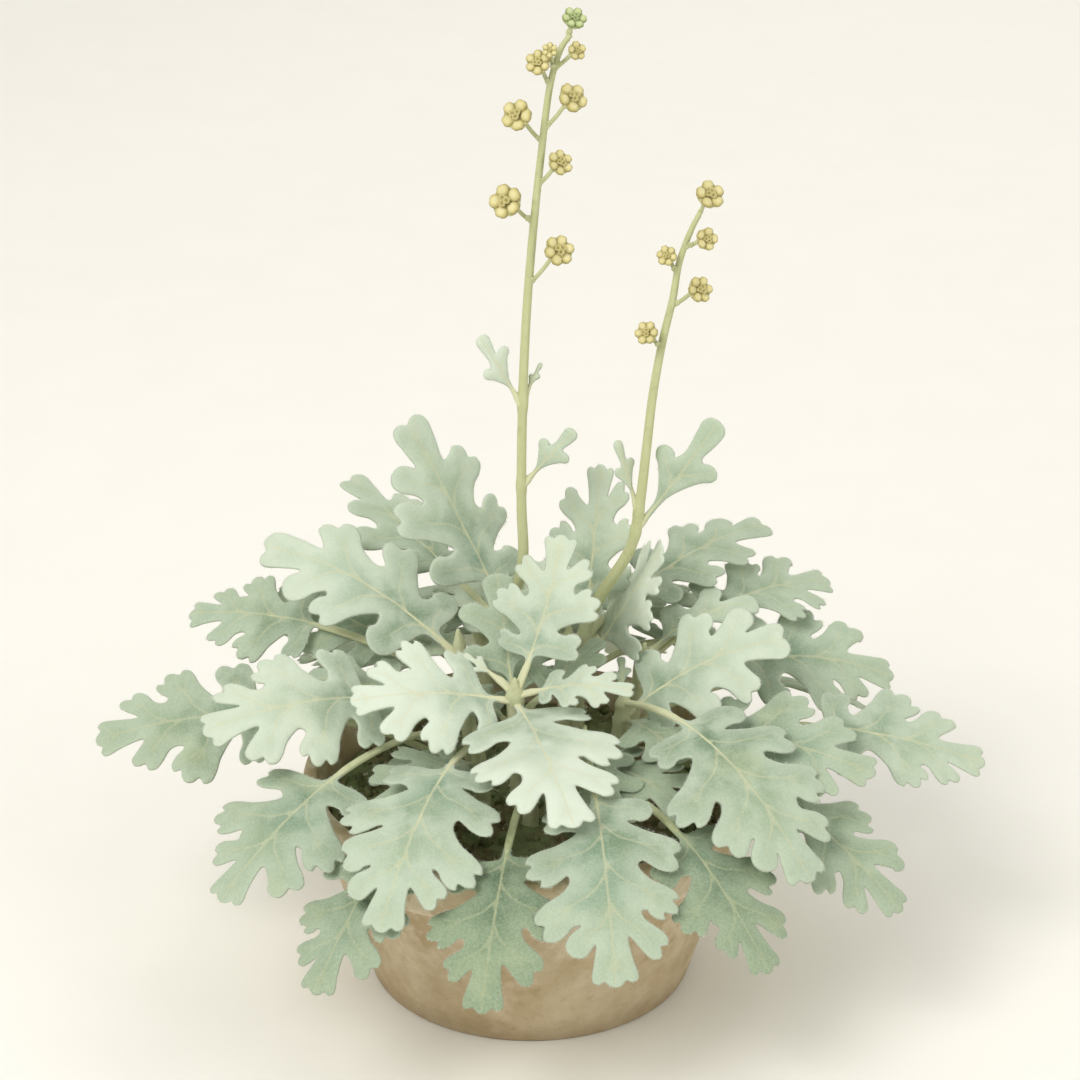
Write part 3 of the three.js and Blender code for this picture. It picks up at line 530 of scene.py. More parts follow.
# Leaf outline
def lobe_edge(lobe, rib, seed, place):
    """One side lobe from its base side to its tip side, with v counted from the midrib, and its veins."""
    root, degrees, full_reach, full_half, teeth = lobe
    reach = full_reach * draw_around(1, LEAF.reach_spread, seed, place)
    angle = math.radians(draw_around(degrees, LEAF.angle_spread, seed, place + 1))
    half = full_half * draw_around(1, LEAF.half_spread, seed, place + 2)
    cos, sin = math.cos(angle), math.sin(angle)

    def point(x, y):
        return (root + x * cos + y * sin, x * sin - y * cos)

    clear = (rib + LEAF.sinus_room + LEAF.flank * half * cos) / sin
    base_flank = point(LEAF.base_flank * reach, -LEAF.flank * half)
    inner = min(max(clear, LEAF.tip_flank * reach), LEAF.flank_end * reach)
    tip_flank = point(inner, LEAF.flank * half)
    edge = [point(x * reach, y * half) for x, y in TEETH[teeth] if y < 0 or x * reach > inner]
    fork = point(FORK.lobe * reach, 0)
    veins = [[(root - 0.03, 0), point(0.22 * reach, 0.12 * half), fork]]
    for x, y in TOOTH_TIPS[teeth]:
        bend = point((FORK.lobe + x) / 2 * reach, 0.35 * y * half)
        veins.append([fork, bend, point(x * reach, y * half)])
    return {"edge": [base_flank, *edge, tip_flank], "angle": angle, "veins": veins}


def tip_edge(tip):
    root, _, reach, half, teeth = tip
    side = (root + LEAF.base_flank * reach, LEAF.flank * half)
    end = [(root + x * reach, -y * half) for x, y in TEETH[teeth]]
    return [side, *end, (side[0], -side[1])]


def half_blade(form, side, seed):
    """The outline of a blade's left half, side 1, or right half, side -1, and its lobes' veins."""
    lobes = form["left"] if side > 0 else form["right"]
    tip = tip_edge(form["tip"])
    first = LOBE_DRAWS.left if side > 0 else LOBE_DRAWS.right
    places = [first + LOBE_DRAWS.each * i for i in range(len(lobes))]
    edges = [lobe_edge(lobe, form["rib"], seed, place) for lobe, place in zip(lobes, places)]
    outline = [(0, LEAF.base_half), (LEAF.shoulder * lobes[0][0], LEAF.shoulder_half)]
    for i, edge in enumerate(edges):
        last = i + 1 == len(edges)
        following = tip[0] if last else edges[i + 1]["edge"][0]
        following_angle = 0 if last else edges[i + 1]["angle"]
        depth = form["rib"] if i else LEAF.first_sinus * form["rib"]
        rib = depth * draw_around(1, LEAF.sinus_spread, seed, places[i] + 3)
        if last:
            rib = min(rib, LEAF.tip_sinus * form["tip"][3])
        flank = edge["edge"][-1]
        middle = ((flank[0] + following[0]) / 2, (flank[1] + following[1]) / 2)
        slope = math.tan((edge["angle"] + following_angle) / 2)
        outline += [*edge["edge"], (middle[0] - (middle[1] - rib) / slope, rib)]
    veins = [vein for edge in edges for vein in edge["veins"]]
    return [(u, side * v) for u, v in outline], [[(u, side * v) for u, v in vein] for vein in veins]


class Midline:
    """An arch from the stem to the leaf's tip, measured along its length."""

    def __init__(self, shoot, leaf):
        height, azimuth, reach, tip_height, arch, sweep = leaf[:6]
        self.blade, self.width, roll, form, self.seed, self.tone = leaf[6:]
        turn = math.radians(azimuth)
        self.start = shoot.at(height)
        self.end = np.array([reach * math.cos(turn), reach * math.sin(turn), tip_height])
        aside = unit(np.array([self.start[1] - self.end[1], self.end[0] - self.start[0], 0]))
        self.control = (self.start + self.end) / 2 + np.array([0, 0, arch]) + aside * sweep
        self.shares = np.linspace(0, 1, 65)
        self.travelled = travel(self.at(self.shares))
        self.length = self.travelled[-1]
        self.petiole = self.length - self.blade
        self.roll = math.tan(math.radians(roll))
        self.form = FORMS[form]

    def at(self, t):
        t = np.asarray(t, float)[..., None]
        return (1 - t) ** 2 * self.start + 2 * t * (1 - t) * self.control + t**2 * self.end

    def frame(self, distance):
        """The point, the side and the upper side's normal at a distance from the stem."""
        t = np.interp(np.clip(distance, 0, self.length), self.travelled, self.shares)
        point = self.at(t)
        t = t[..., None]
        along = unit(2 * (1 - t) * (self.control - self.start) + 2 * t * (self.end - self.control))
        point = point + along * np.clip(distance - self.length, 0, None)[..., None]
        side = unit(np.cross([0.0, 0.0, 1.0], along))
        normal = np.cross(along, side)
        front = np.array([0.0, -1.0, 0.0]) - along * -along[..., 1:2]
        rolled = np.clip(distance / max(self.petiole, 1), 0, 1)[..., None]
        normal = unit(normal + front * self.roll * rolled)
        return point, np.cross(normal, along), normal

    def place(self, distance, across, lift):
        """Where a point of the flat leaf comes to lie, lifted by that much."""
        point, side, normal = self.frame(distance)
        u = (distance - self.petiole) / self.blade
        ripple = np.sin(LEAF.wave_turn * u + 2 * math.pi * draw(self.seed, 7))
        rise = lift + LEAF.wave * ripple * across - LEAF.cup * across**2
        return point + side * across[..., None] + normal * rise[..., None]


def vein_lines(midline, in_mm, side_veins):
    """Each vein's line, with its strengths at its two ends."""
    root, _, reach, half, teeth = midline.form["tip"]
    lines = [([(0, 0), (root, 0), (root + FORK.midrib_end * reach, 0)], VEIN.midrib)]
    for x, y in TOOTH_TIPS[teeth]:
        if abs(y) > 0.2:
            bend = (root + (FORK.end_lobe + x) / 2 * reach, -0.3 * y * half)
            branch = [(root + FORK.end_lobe * reach, 0), bend, (root + x * reach, -y * half)]
            lines.append((branch, VEIN.end_tooth))
    for vein in side_veins:
        leaves_midrib = abs(vein[0][1]) < 1e-9
        lines.append((vein, VEIN.lobe if leaves_midrib else VEIN.tooth))
    return [(through(in_mm(line), FINE.vein), strengths) for line, strengths in lines]


def inner_points(edge, edges, veins):
    """Points for the blade's inside: a row that follows the edge, then a grid of triangles."""
    _, aside = edge_frame(edge)
    rim = np.vstack([edge + FINE.rim * aside, edge - FINE.rim * aside])
    rim = rim[inside(rim, edge)]
    rim = rim[clear_of(rim, *edges, ROOM.rim_share * FINE.rim) & clear_of(rim, *veins, ROOM.rim_to_vein)]
    low, high = edge.min(0), edge.max(0)
    grid = []
    for i, y in enumerate(np.arange(low[1], high[1], FINE.grid * math.sqrt(0.75))):
        x = np.arange(low[0] + (i % 2) * FINE.grid / 2, high[0], FINE.grid)
        grid.append(np.column_stack([x, np.full(len(x), y)]))
    grid = np.vstack(grid)
    grid = grid[inside(grid, edge)]
    grid = grid[clear_of(grid, *edges, ROOM.grid) & clear_of(grid, *veins, ROOM.grid_to_vein)]
    return [*rim, *grid]


def leaf_pattern(midline):
    """The flat leaf in mm: vertices, triangles, each vertex's distance to a vein, the vein's strength
    there, its distance to the edge, and the edge itself."""
    left, left_veins = half_blade(midline.form, 1, midline.seed)
    right, right_veins = half_blade(midline.form, -1, midline.seed)

    def in_mm(points):
        points = np.array(points, float)
        across = points[:, 1] * midline.blade * midline.width
        return np.column_stack([midline.petiole + points[:, 0] * midline.blade, across])

    edge = through(in_mm([*left, *tip_edge(midline.form["tip"]), *right[::-1]]), FINE.edge)
    edges = (edge, np.roll(edge, -1, axis=0))
    lines = vein_lines(midline, in_mm, left_veins + right_veins)
    veins = (np.vstack([line[:-1] for line, _ in lines]), np.vstack([line[1:] for line, _ in lines]))

    points = [*edge]
    links = loop_links(0, len(edge))
    for line, _ in lines:
        first = len(points)
        points += [*line]
        links += [(first + i, first + i + 1) for i in range(len(line) - 1)]
    points += inner_points(edge, edges, veins)
    flat, triangles = triangulate(points, links, lambda centres: inside(centres, edge))
    used, renumbered = np.unique(triangles, return_inverse=True)
    flat, triangles = flat[used], renumbered.reshape(-1, 3)

    to_vein, share = segment_distance(flat, *veins)
    nearest = to_vein.argmin(1)
    along_veins = []
    for line, strengths in lines:
        steps = np.linspace(*strengths, len(line))
        along_veins += list(zip(steps[:-1], steps[1:]))
    low, high = np.array(along_veins)[nearest].T
    rows = np.arange(len(flat))
    strength = low + (high - low) * share[rows, nearest]
    to_edge = segment_distance(flat, *edges)[0].min(1)
    return flat, triangles, to_vein[rows, nearest], strength, to_edge, edge


def ripples(flat, rise, seed=0, layer=0):
    """Smooth noise over a flat leaf or the soil, from its (height, size)."""
    height, size = rise
    offset = Vector((37.1 * seed, 11.7 * seed, layer))
    return height * np.array([noise.noise(Vector((x / size, y / size, 0)) + offset) for x, y in flat])


def leaf(skin, shoot, row):
    """A blade with rounded margins, sunken veins above and standing ones below, and its stalk and midrib."""
    midline = Midline(shoot, row)
    flat, triangles, vein, strength, edge, margin = leaf_pattern(midline)
    distance, across = flat[:, 0], flat[:, 1]
    along = (distance - midline.petiole) / midline.blade
    fullness = np.sqrt(1 - (1 - np.clip(edge / BLADE.rounding, 0, 1)) ** 2)
    half = LEAF.half_thickness * fullness
    rise, reach = BLADE.quilt
    quilt = rise * strength * (1 - np.exp(-vein / reach)) - BLADE.vein_depth * strength
    seed = midline.seed
    swell = ripples(flat, BLADE.swell, seed) + ripples(flat, BLADE.fine_swell, seed + 1)
    curl = np.clip(np.abs(across) / BLADE.curl_from, 0, 1) * ripples(flat, BLADE.curl, seed + 2)
    rise, reach = BLADE.droop
    droop = -rise * np.exp(-edge / reach) * np.clip(np.abs(across) / BLADE.droop_from, 0, 1)
    shape = (swell * fullness + curl + droop) * smoothstep(0, BLADE.smooth_base, along)
    top = midline.place(distance, across, half + shape + quilt * fullness)
    bottom = midline.place(distance, across, -half + shape + BLADE.under_quilt * quilt * fullness)

    # Both faces share the vertices of the margin
    on_edge = edge < 1e-3
    off_edge = ~on_edge
    lower = np.arange(len(flat))
    lower[off_edge] = len(flat) + np.arange(off_edge.sum())
    top[on_edge] = (top[on_edge] + bottom[on_edge]) / 2
    faces = [tuple(t) for t in triangles] + [tuple(lower[t][::-1]) for t in triangles]
    fields = {"vein": vein, "strength": strength, "edge": edge, "along": along}
    fields = {name: np.concatenate([values, values[off_edge]]) for name, values in fields.items()}
    under = np.concatenate([np.where(on_edge, 0.5, 0.0), np.ones(off_edge.sum())])
    skin.add(np.vstack([top, bottom[off_edge]]), faces, 0, tone=midline.tone, under=under, **fields)
    petiole(skin, midline)
    hairs(skin, margin, midline)


def petiole(skin, midline):
    """Leaf stalk and midrib: one tapered tube, grooved on top, that runs on below the blade."""
    end = midline.petiole + PETIOLE.blade_share * midline.blade
    places = np.linspace(-1.0, end, max(8, int(end / PETIOLE.step)))
    reached = (places - midline.petiole) / midline.blade
    share = np.clip(reached, 0, 1)
    on_blade = smoothstep(-0.06, 0.12, reached)
    swell, swell_reach = PETIOLE.swollen_foot
    swollen = 1 + swell * np.exp(-np.clip(places, 0, None) / swell_reach)
    loss, power = PETIOLE.taper
    half_width = PETIOLE.half_width * (1 - loss * share**power) * swollen
    half_width = half_width * (1 - PETIOLE.loss_on_blade * on_blade)
    loss, power = PETIOLE.height_taper
    half_height = PETIOLE.half_height * (1 - loss * share**power)
    sink = -PETIOLE.sink * on_blade - PETIOLE.sink_at_base * on_blade * (1 - share)
    turn = turns(CIRCLE.petiole)
    point, side, normal = midline.frame(places)
    groove = 1 - PETIOLE.groove * (1 - on_blade)[:, None] * np.clip(np.sin(turn), 0, 1)[None] ** 6
    tall = half_height[:, None] * np.sin(turn) * groove + sink[:, None]
    corners = hoops(point, side, normal, half_width[:, None] * np.cos(turn), tall)
    fields = {"along": np.repeat(share, CIRCLE.petiole), "under": np.repeat(on_blade, CIRCLE.petiole)}
    # The stalk takes its leaf's whiteness, painted shade on the inner leaves included
    skin.add(corners, ring_faces(len(places), CIRCLE.petiole), 1, tone=midline.tone, **fields)


def hairs(skin, loop, midline):
    """Short felt hairs, each a thin pyramid, that stand out round a leaf's margin, which runs clockwise."""
    tangent, outward = edge_frame(loop)
    random = np.random.default_rng(midline.seed)
    count = len(loop) * HAIR.per_step
    which = random.integers(0, len(loop), count)
    slide = random.uniform(-0.5, 0.5, count)[:, None] * FINE.edge
    length = random.uniform(HAIR.least, HAIR.most, count)[:, None]
    splay = random.normal(0, HAIR.splay, count)[:, None]
    foot = loop[which] + tangent[which] * slide - outward[which] * HAIR.root
    tip = loop[which] + tangent[which] * slide + (outward[which] + tangent[which] * splay) * length
    lift = random.normal(0, HAIR.lift, count)
    width = HAIR.width / 2
    base = midline.place(foot[:, 0], foot[:, 1], lift * HAIR.foot_lift)
    point = midline.place(tip[:, 0], tip[:, 1], lift)
    _, side, normal = midline.frame(foot[:, 0])
    back = base - side * width * 0.5
    vertices = np.stack([base + side * width, back + normal * width, back - normal * width, point], axis=1)
    first = np.arange(count) * 4
    faces = [np.column_stack([first + a, first + b, first + 3]) for a, b in ((0, 1), (1, 2), (2, 0))]
    skin.add(vertices.reshape(-1, 3), np.concatenate(faces), 2, tone=midline.tone, along=0.5)


# Stems and flower heads
def stem(skin, shoot):
    """A ribbed stem, swollen where a leaf leaves it, that ends in a tip or goes on as a flower stalk."""
    line = [shoot.at(SOIL.height - STEM.depth), shoot.at(shoot.top)]
    radii = [STEM.foot_radius, STEM.top_radius]
    for i, place in enumerate(shoot.stalk):
        line.append(np.array(place, float))
        share = (i + 1) / len(shoot.stalk)
        radii.append(STALK.foot_radius + (STALK.tip_radius - STALK.foot_radius) * share)
    if not shoot.stalk:
        line.append(shoot.at(shoot.top + STEM.tip_length))
        radii.append(STEM.tip_radius)
    travelled = travel(line)
    fine = through(line, FINE.stem)
    fine_travelled = travel(fine)
    fine_travelled *= travelled[-1] / fine_travelled[-1]
    radius = np.interp(fine_travelled, travelled, radii)
    swell, reach = STEM_JOINT
    for row in shoot.leaves:
        radius = radius + swell * np.exp(-(((fine[:, 2] - row[0]) / reach) ** 2))
    above = smoothstep(shoot.top - 5, shoot.top + 25, fine[:, 2])
    tube(skin, fine, radius, CIRCLE.stem, 5, tone=0.45 + 0.25 * above, along=-above, strength=above)


def head_frame(shoot, seed, row):
    """The foot of a head's short stalk, the head's middle, the way it faces, and its radius."""
    height, x, y, z, radius, _ = row
    centre = np.array([x, y, z], float)
    foot = shoot.at(height)
    turn = HEAD.least_turn + (HEAD.greatest_turn - HEAD.least_turn) * draw(seed, 1)
    facing = unit(unit(centre - foot) + np.array([0, -1, HEAD.look_up]) * turn)
    return foot, centre, facing, radius


def pedicel(skin, shoot, seed, row):
    """The short stalk of a head, which widens below it, with a bract at its foot."""
    foot, centre, facing, radius = head_frame(shoot, seed, row)
    tip = centre + facing * (HEAD.back * radius - 0.1)
    neck = tip - facing * 0.3 * radius
    sag = np.array([0, 0, -PEDICEL.sag]) * np.linalg.norm(neck - foot)
    line = through([foot, (foot + neck) / 2 + sag, neck, tip], FINE.pedicel)
    share = np.linspace(0, 1, len(line))
    foot_radius, waist = PEDICEL.foot_radius, PEDICEL.waist_radius
    radii = foot_radius - (foot_radius - waist) * smoothstep(0, 0.25, share)
    radii = radii + (PEDICEL.head_share * radius - waist) * smoothstep(0.72, 1, share) ** 1.5
    tube(skin, line, radii, CIRCLE.pedicel, 5, tone=0.5, along=-0.4)
    along = unit(neck - foot)
    bract(skin, foot + along * 0.8, unit(along + np.array([0, -0.5, 0.2])), 2.6 + 1.6 * draw(seed, 8))


def bract(skin, foot, along, length):
    """A small pointed scale where a stalk branches."""
    side = unit(np.cross(along, [0.0, -1.0, 0.3]))
    out = np.cross(side, along)
    rows = 9
    share = np.linspace(0, 1, rows)
    width = 0.26 * length * np.sin(math.pi * np.clip(share, 0.04, 0.98)) ** 0.7
    turn = turns(CIRCLE.bract)
    line = foot + np.outer(share * length, along) + np.outer(0.5 * length * share**2, out) * 0.6
    corners = hoops(line, side, out, width[:, None] * np.cos(turn), 0.3 * width[:, None] * np.sin(turn))
    skin.add(corners, ring_faces(rows, CIRCLE.bract), 1, tone=0.75, along=-0.5)


def ball(rows, sides):
    """Directions over a ball from its lower pole to its upper one, and the faces between them."""
    up = np.linspace(-math.pi / 2, math.pi / 2, rows)
    ring = revolve(np.cos(up)[:, None], np.sin(up)[:, None], turns(sides))
    return ring.reshape(-1, 3), ring_faces(rows, sides, closed_ends=False)


def flower_head(name, node, shoot, seed, row, material):
    """A rosette of rounded, cupped florets round a few open ones, on a felted cup."""
    _, centre, facing, radius = head_frame(shoot, seed, row)
    lobes = HEAD.fewest_lobes + round(draw(seed, 2))
    sides = 3 * lobes
    matrix = np.array(Vector((0, 0, 1)).rotation_difference(Vector(facing)).to_matrix())
    skin = Skin()

    def put(local, faces, **fields):
        skin.add(centre + (radius * local) @ matrix.T, faces, 0, **fields)

    # The cup below the florets
    profile = [(0.2, -0.5), (0.42, -0.44), (0.62, -0.3), (0.78, -0.12), (0.82, 0.05), (0.6, 0.12)]
    profile = through([*profile, (0.05, 0.1)], 0.08)
    turn = turns(CIRCLE.cup)
    scales = 1 + 0.04 * np.cos(9 * turn[None] + 6 * profile[:, 1:])
    rings = revolve(profile[:, :1] * scales, profile[:, 1:], turn)
    put(rings.reshape(-1, 3), ring_faces(len(profile), CIRCLE.cup), edge=0.2, under=1.0, tone=0.4)

    # The outer florets, each a ball that is notched at its outer end and dished on top
    directions, faces = ball(13, CIRCLE.floret)
    outer, aside, up = directions.T
    cleft = 1 - 0.13 * np.exp(-((aside / 0.3) ** 2)) * np.clip(outer, 0, 1)
    dish = 0.3 * np.exp(-((outer**2 + aside**2) / 0.18)) * (up > 0)
    # Marks each floret's middle for the pale colours; its flanks and lower side are left to the painted shade
    # of the creases
    rim = np.where(up > -0.1, np.clip(1 - np.hypot(outer, aside), 0, 1), 0)
    for i in range(lobes):
        angle = 2 * math.pi * (3 * i + 1.5 + 3 * draw(seed, 3)) / sides
        size = 1 + 0.08 * (draw(seed, 10 + i) - 0.5)
        reach, width = 0.4 * size, 1.06 * 0.62 * math.sin(math.pi / lobes) * size
        local = np.column_stack([
            0.58 + reach * outer * cleft,
            width * aside * (1 + 0.12 * outer),
            0.08 + (0.3 - 0.16 * dish) * up + 0.1 * outer + 0.1 * (draw(seed, 20 + i) - 0.5),
        ])
        cos, sin = math.cos(angle), math.sin(angle)
        spin = np.array([[cos, -sin, 0], [sin, cos, 0], [0, 0, 1]])
        put(local @ spin.T, faces, edge=rim, tone=0.5 + 0.5 * draw(seed, 30 + i), under=up < -0.2)

    # The open florets in the middle
    middle = 3 if radius > 3 else 1
    away = 0.17 if middle > 1 else 0
    stalk = [(0.13, 0.1), (0.14, 0.3), (0.19, 0.4), (0.21, 0.45), (0.13, 0.43), (0.06, 0.36), (0.02, 0.33)]
    stalk = through(stalk, 0.05)
    turn = turns(CIRCLE.floret)
    star = 1 + 0.14 * np.cos(5 * turn)[None] * smoothstep(0.3, 0.42, stalk[:, 1:])
    # hollow runs up the open floret's wall and down into it, and marks its inside for painted shade
    hollow = np.repeat(np.linspace(0, 1, len(stalk)), CIRCLE.floret)
    faces = ring_faces(len(stalk), CIRCLE.floret)
    for i in range(middle):
        angle = 2 * math.pi * (i + draw(seed, 4)) / middle
        place = (away * math.cos(angle), away * math.sin(angle))
        rings = revolve(stalk[:, :1] * star, stalk[:, 1:] + 0.05 * draw(seed, 40 + i), turn, place)
        put(rings.reshape(-1, 3), faces, edge=1 - hollow, tone=0.3, vein=hollow)
    skin.piece(name, [material], node, row[5])


# Pot and soil
def pot_profile():
    """The pan's half section, up its outside and down its inside."""
    base, rim, wall_top, top = POT.base_radius, POT.rim_radius, POT.wall_top_radius, POT.height
    wall, inner_rim = top - POT.collar_height, POT.inner_rim_radius
    return [
        (base - POT.edge, 0),
        (base - 0.4, 0.4),
        (base + 0.05, POT.edge),
        (base + 5, 18),
        (base + 10, 36),
        (wall_top - 0.3, wall - 1.2),
        (wall_top + 0.5, wall - 0.1),
        (rim - POT.edge - 1, wall + 0.6),
        (rim - 0.75, wall + 2.2),
        (rim - 0.25, wall + 8),
        (rim, top - 3),
        (rim - 0.45, top - 0.9),
        (rim - POT.edge, top),
        (inner_rim + POT.edge, top),
        (inner_rim + 0.45, top - 0.5),
        (inner_rim, top - POT.edge),
        (POT.inner_base_radius + 10, POT.floor + 31),
        (POT.inner_base_radius, POT.floor),
    ]


def pot(material):
    """A thrown pan: straight wall, rounded collar, drain holes, faint turning lines."""
    wall = POT.height - POT.collar_height
    line = through(pot_profile(), FINE.pot)
    sides = CIRCLE.pot
    turn = turns(sides)
    height = line[:, 1:]
    outside = np.arange(len(line))[:, None] < line[:, 1].argmax()
    lines = np.sin(TURNING.per_mm * height + TURNING.drift * np.sin(turn))
    lines = TURNING.depth * lines * outside * smoothstep(2, 6, height)
    lines = lines * (1 - smoothstep(wall - 4, wall - 1, height) * (1 - TURNING.left_on_collar))
    wobble = TURNING.wobble * np.sin(2 * turn + 0.7) * smoothstep(8, 60, height)
    rings = revolve(line[:, :1] + lines + wobble, height, turn)
    skin = Skin()
    faces = ring_faces(len(line), sides, closed_ends=False)
    skin.add(rings.reshape(-1, 3), faces, 0, edge=np.repeat(line[:, 1], sides))

    # Base and floor, with the drain holes through both
    hole_turn = turns(CIRCLE.drain)
    circle = np.column_stack([np.cos(hole_turn), np.sin(hole_turn)])
    holes = []
    for i in range(POT.drain_holes):
        angle = 2 * math.pi * (i + 0.5) / POT.drain_holes
        centre = POT.drain_hole_ring * np.array([math.cos(angle), math.sin(angle)])
        holes.append(centre + POT.drain_hole_radius * circle)
    for ring, level, step in ((rings[0], 0, -1), (rings[-1], POT.floor, 1)):
        links = loop_links(0, sides)
        for i in range(len(holes)):
            links += loop_links(sides + CIRCLE.drain * i, CIRCLE.drain)
        flat, triangles = triangulate(
            [*ring[:, :2], *np.vstack(holes)],
            links,
            lambda centres: ~np.any([inside(centres, hole) for hole in holes], axis=0),
        )
        skin.add(np.column_stack([flat, np.full(len(flat), level)]), triangles[:, ::step], 0)
    faces = [face[::-1] for face in ring_faces(3, CIRCLE.drain, closed_ends=False)]
    for hole in holes:
        levels = (0.0, POT.floor / 2, float(POT.floor))
        tall = [np.column_stack([hole, np.full(CIRCLE.drain, z)]) for z in levels]
        skin.add(np.vstack(tall), faces, 0)
    skin.piece("pot_thrown", [material], "pot", "clay")


def soil_height(x, y):
    """The lie of the soil's top, with the same broad swells as the solid's."""
    broad = np.sin(0.21 * x + 1) * np.cos(0.17 * y)
    return SOIL.height + SOIL.lump * (broad + 0.5 * np.sin(0.4 * x - 0.33 * y))


def soil(material):
    """Crumbly soil: a lumpy top that closes on the wall, with loose crumbs and grit on it."""
    wall_height = SOIL.height - SOIL.wall_drop
    share = (wall_height - POT.floor) / (POT.height - POT.edge - POT.floor)
    low_radius = POT.inner_base_radius - SOIL.gap
    edge_radius = POT.inner_base_radius + (POT.inner_rim_radius - POT.inner_base_radius) * share - SOIL.gap
    rings, sides = 62, CIRCLE.soil
    radii = edge_radius * np.linspace(0, 1, rings + 1)[1:]
    turn = turns(sides)
    x = np.outer(radii, np.cos(turn)).ravel()
    y = np.outer(radii, np.sin(turn)).ravel()
    flat = np.column_stack([x, y])
    rough = ripples(flat, SOIL_CLODS) + ripples(flat, SOIL_GRAINS, layer=4)
    rim = smoothstep(0.9, 1.0, np.hypot(x, y) / edge_radius)
    z = (soil_height(x, y) + rough) * (1 - rim) + (wall_height + 0.4 * rough) * rim
    vertices = [(0, 0, float(soil_height(0.0, 0.0))), *zip(x, y, z)]
    vertices += [(low_radius * math.cos(t), low_radius * math.sin(t), POT.floor + 0.3) for t in turn]
    faces = [(0, 1 + k, 1 + (k + 1) % sides) for k in range(sides)]
    for a, b, c, d in ring_faces(rings + 1, sides, closed_ends=False):
        faces.append((1 + a, 1 + d, 1 + c, 1 + b))
    faces.append(tuple(1 + rings * sides + k for k in range(sides))[::-1])
    skin = Skin()
    skin.add(vertices, faces, 0)

    random = np.random.default_rng(5)
    directions, ball_faces = ball(5, 7)
    for _ in range(CRUMBS.count):
        away = (edge_radius - 3) * math.sqrt(random.uniform(0, 1))
        angle = random.uniform(0, 2 * math.pi)
        size = CRUMBS.least + CRUMBS.spread * random.uniform(0, 1) ** CRUMBS.rarity
        x, y = away * math.cos(angle), away * math.sin(angle)
        at = np.array([x, y, float(soil_height(x, y)) + 0.2 * size])
        stretch = size * random.uniform(0.7, 1.2, 3)
        lumps = 1 + CRUMBS.lumps * random.normal(0, 1, len(directions))
        grit = random.uniform(0, 1) > CRUMBS.grit_from
        corners = at + directions * lumps[:, None] * stretch
        skin.add(corners, ball_faces, 0, edge=float(grit), tone=random.uniform(0, 1))
    skin.piece("soil_crumbly", [material], "soil", "earth")


# Materials
def srgb(*colour):
    channels = [c / 255 for c in colour]
    return (*(c / 12.92 if c <= 0.04045 else ((c + 0.055) / 1.055) ** 2.4 for c in channels), 1.0)


class Finish:
    """A node material: colours laid over a base one by one, where a share from 0 to 1 says so."""

    def __init__(self, name, roughness, base=None, **uniform):
        self.material = bpy.data.materials.new(name)
        self.material.use_nodes = True
        self.tree = self.material.node_tree
        self.shader = self.tree.nodes["Principled BSDF"]
        for socket, value in {"Roughness": roughness, **uniform}.items():
            self.feed(self.shader.inputs[socket.replace("_", " ")], value)
        self.place = self.node("TexCoord", {}, "Object")
        self.base = base

    def feed(self, socket, value):
        """Links a node's output to the socket, or sets a number, a vector, or a tuple that is a colour."""
        if isinstance(value, bpy.types.NodeSocket):
            self.tree.links.new(value, socket)
        else:
            socket.default_value = srgb(*value) if isinstance(value, tuple) else value

    def node(self, kind, inputs, output=0, **settings):
        """One output of a new node."""
        node = self.tree.nodes.new("ShaderNode" + kind)
        for setting, value in settings.items():
            setattr(node, setting, value)
        for socket, value in inputs.items():
            self.feed(node.inputs[socket], value)
        return node.outputs[output]

    def field(self, name):
        return self.node("Attribute", {}, "Fac", attribute_name=name)

    def math(self, operation, a, b, clamp=False):
        return self.node("Math", {0: a, 1: b}, operation=operation, use_clamp=clamp)

    def plus(self, a, b):
        return self.math("ADD", a, b)

    def times(self, a, b, clamp=False):
        return self.math("MULTIPLY", a, b, clamp)

    def ramp(self, value, low, high, to_low=0.0, to_high=1.0):
        inputs = {0: value, 1: low, 2: high, 3: to_low, 4: to_high}
        return self.node("MapRange", inputs, interpolation_type="SMOOTHSTEP")

    def fall(self, value, low, high):
        return self.ramp(value, low, high, 1.0, 0.0)

    def noise(self, size, detail=3.0, roughness=0.5, stretch=None):
        place = self.place
        if stretch:
            place = self.node("Mapping", {"Vector": place, "Scale": Vector(stretch)})
        inputs = {"Vector": place, "Scale": 1 / (size * MM), "Detail": detail, "Roughness": roughness}
        return self.node("TexNoise", inputs, "Fac")

    def clouds(self, low, high, *noise_values):
        return self.ramp(self.noise(*noise_values), low, high)

    def mix(self, share, a, b):
        """A colour between a and b. Sockets 6 and 7 are the two colours, and output 2 is the result."""
        return self.node("Mix", {0: share, 6: a, 7: b}, 2, data_type="RGBA")

    def cover(self, share, colour, most=None):
        self.base = self.mix(self.times(share, most) if most else share, self.base, colour)

    def done(self, relief=None, depth=0.0, strength=1.0):
        self.feed(self.shader.inputs["Base Color"], self.base)
        if relief:
            inputs = {"Height": relief, "Distance": depth * MM, "Strength": strength}
            self.feed(self.shader.inputs["Normal"], self.node("Bump", inputs))
        return self.material


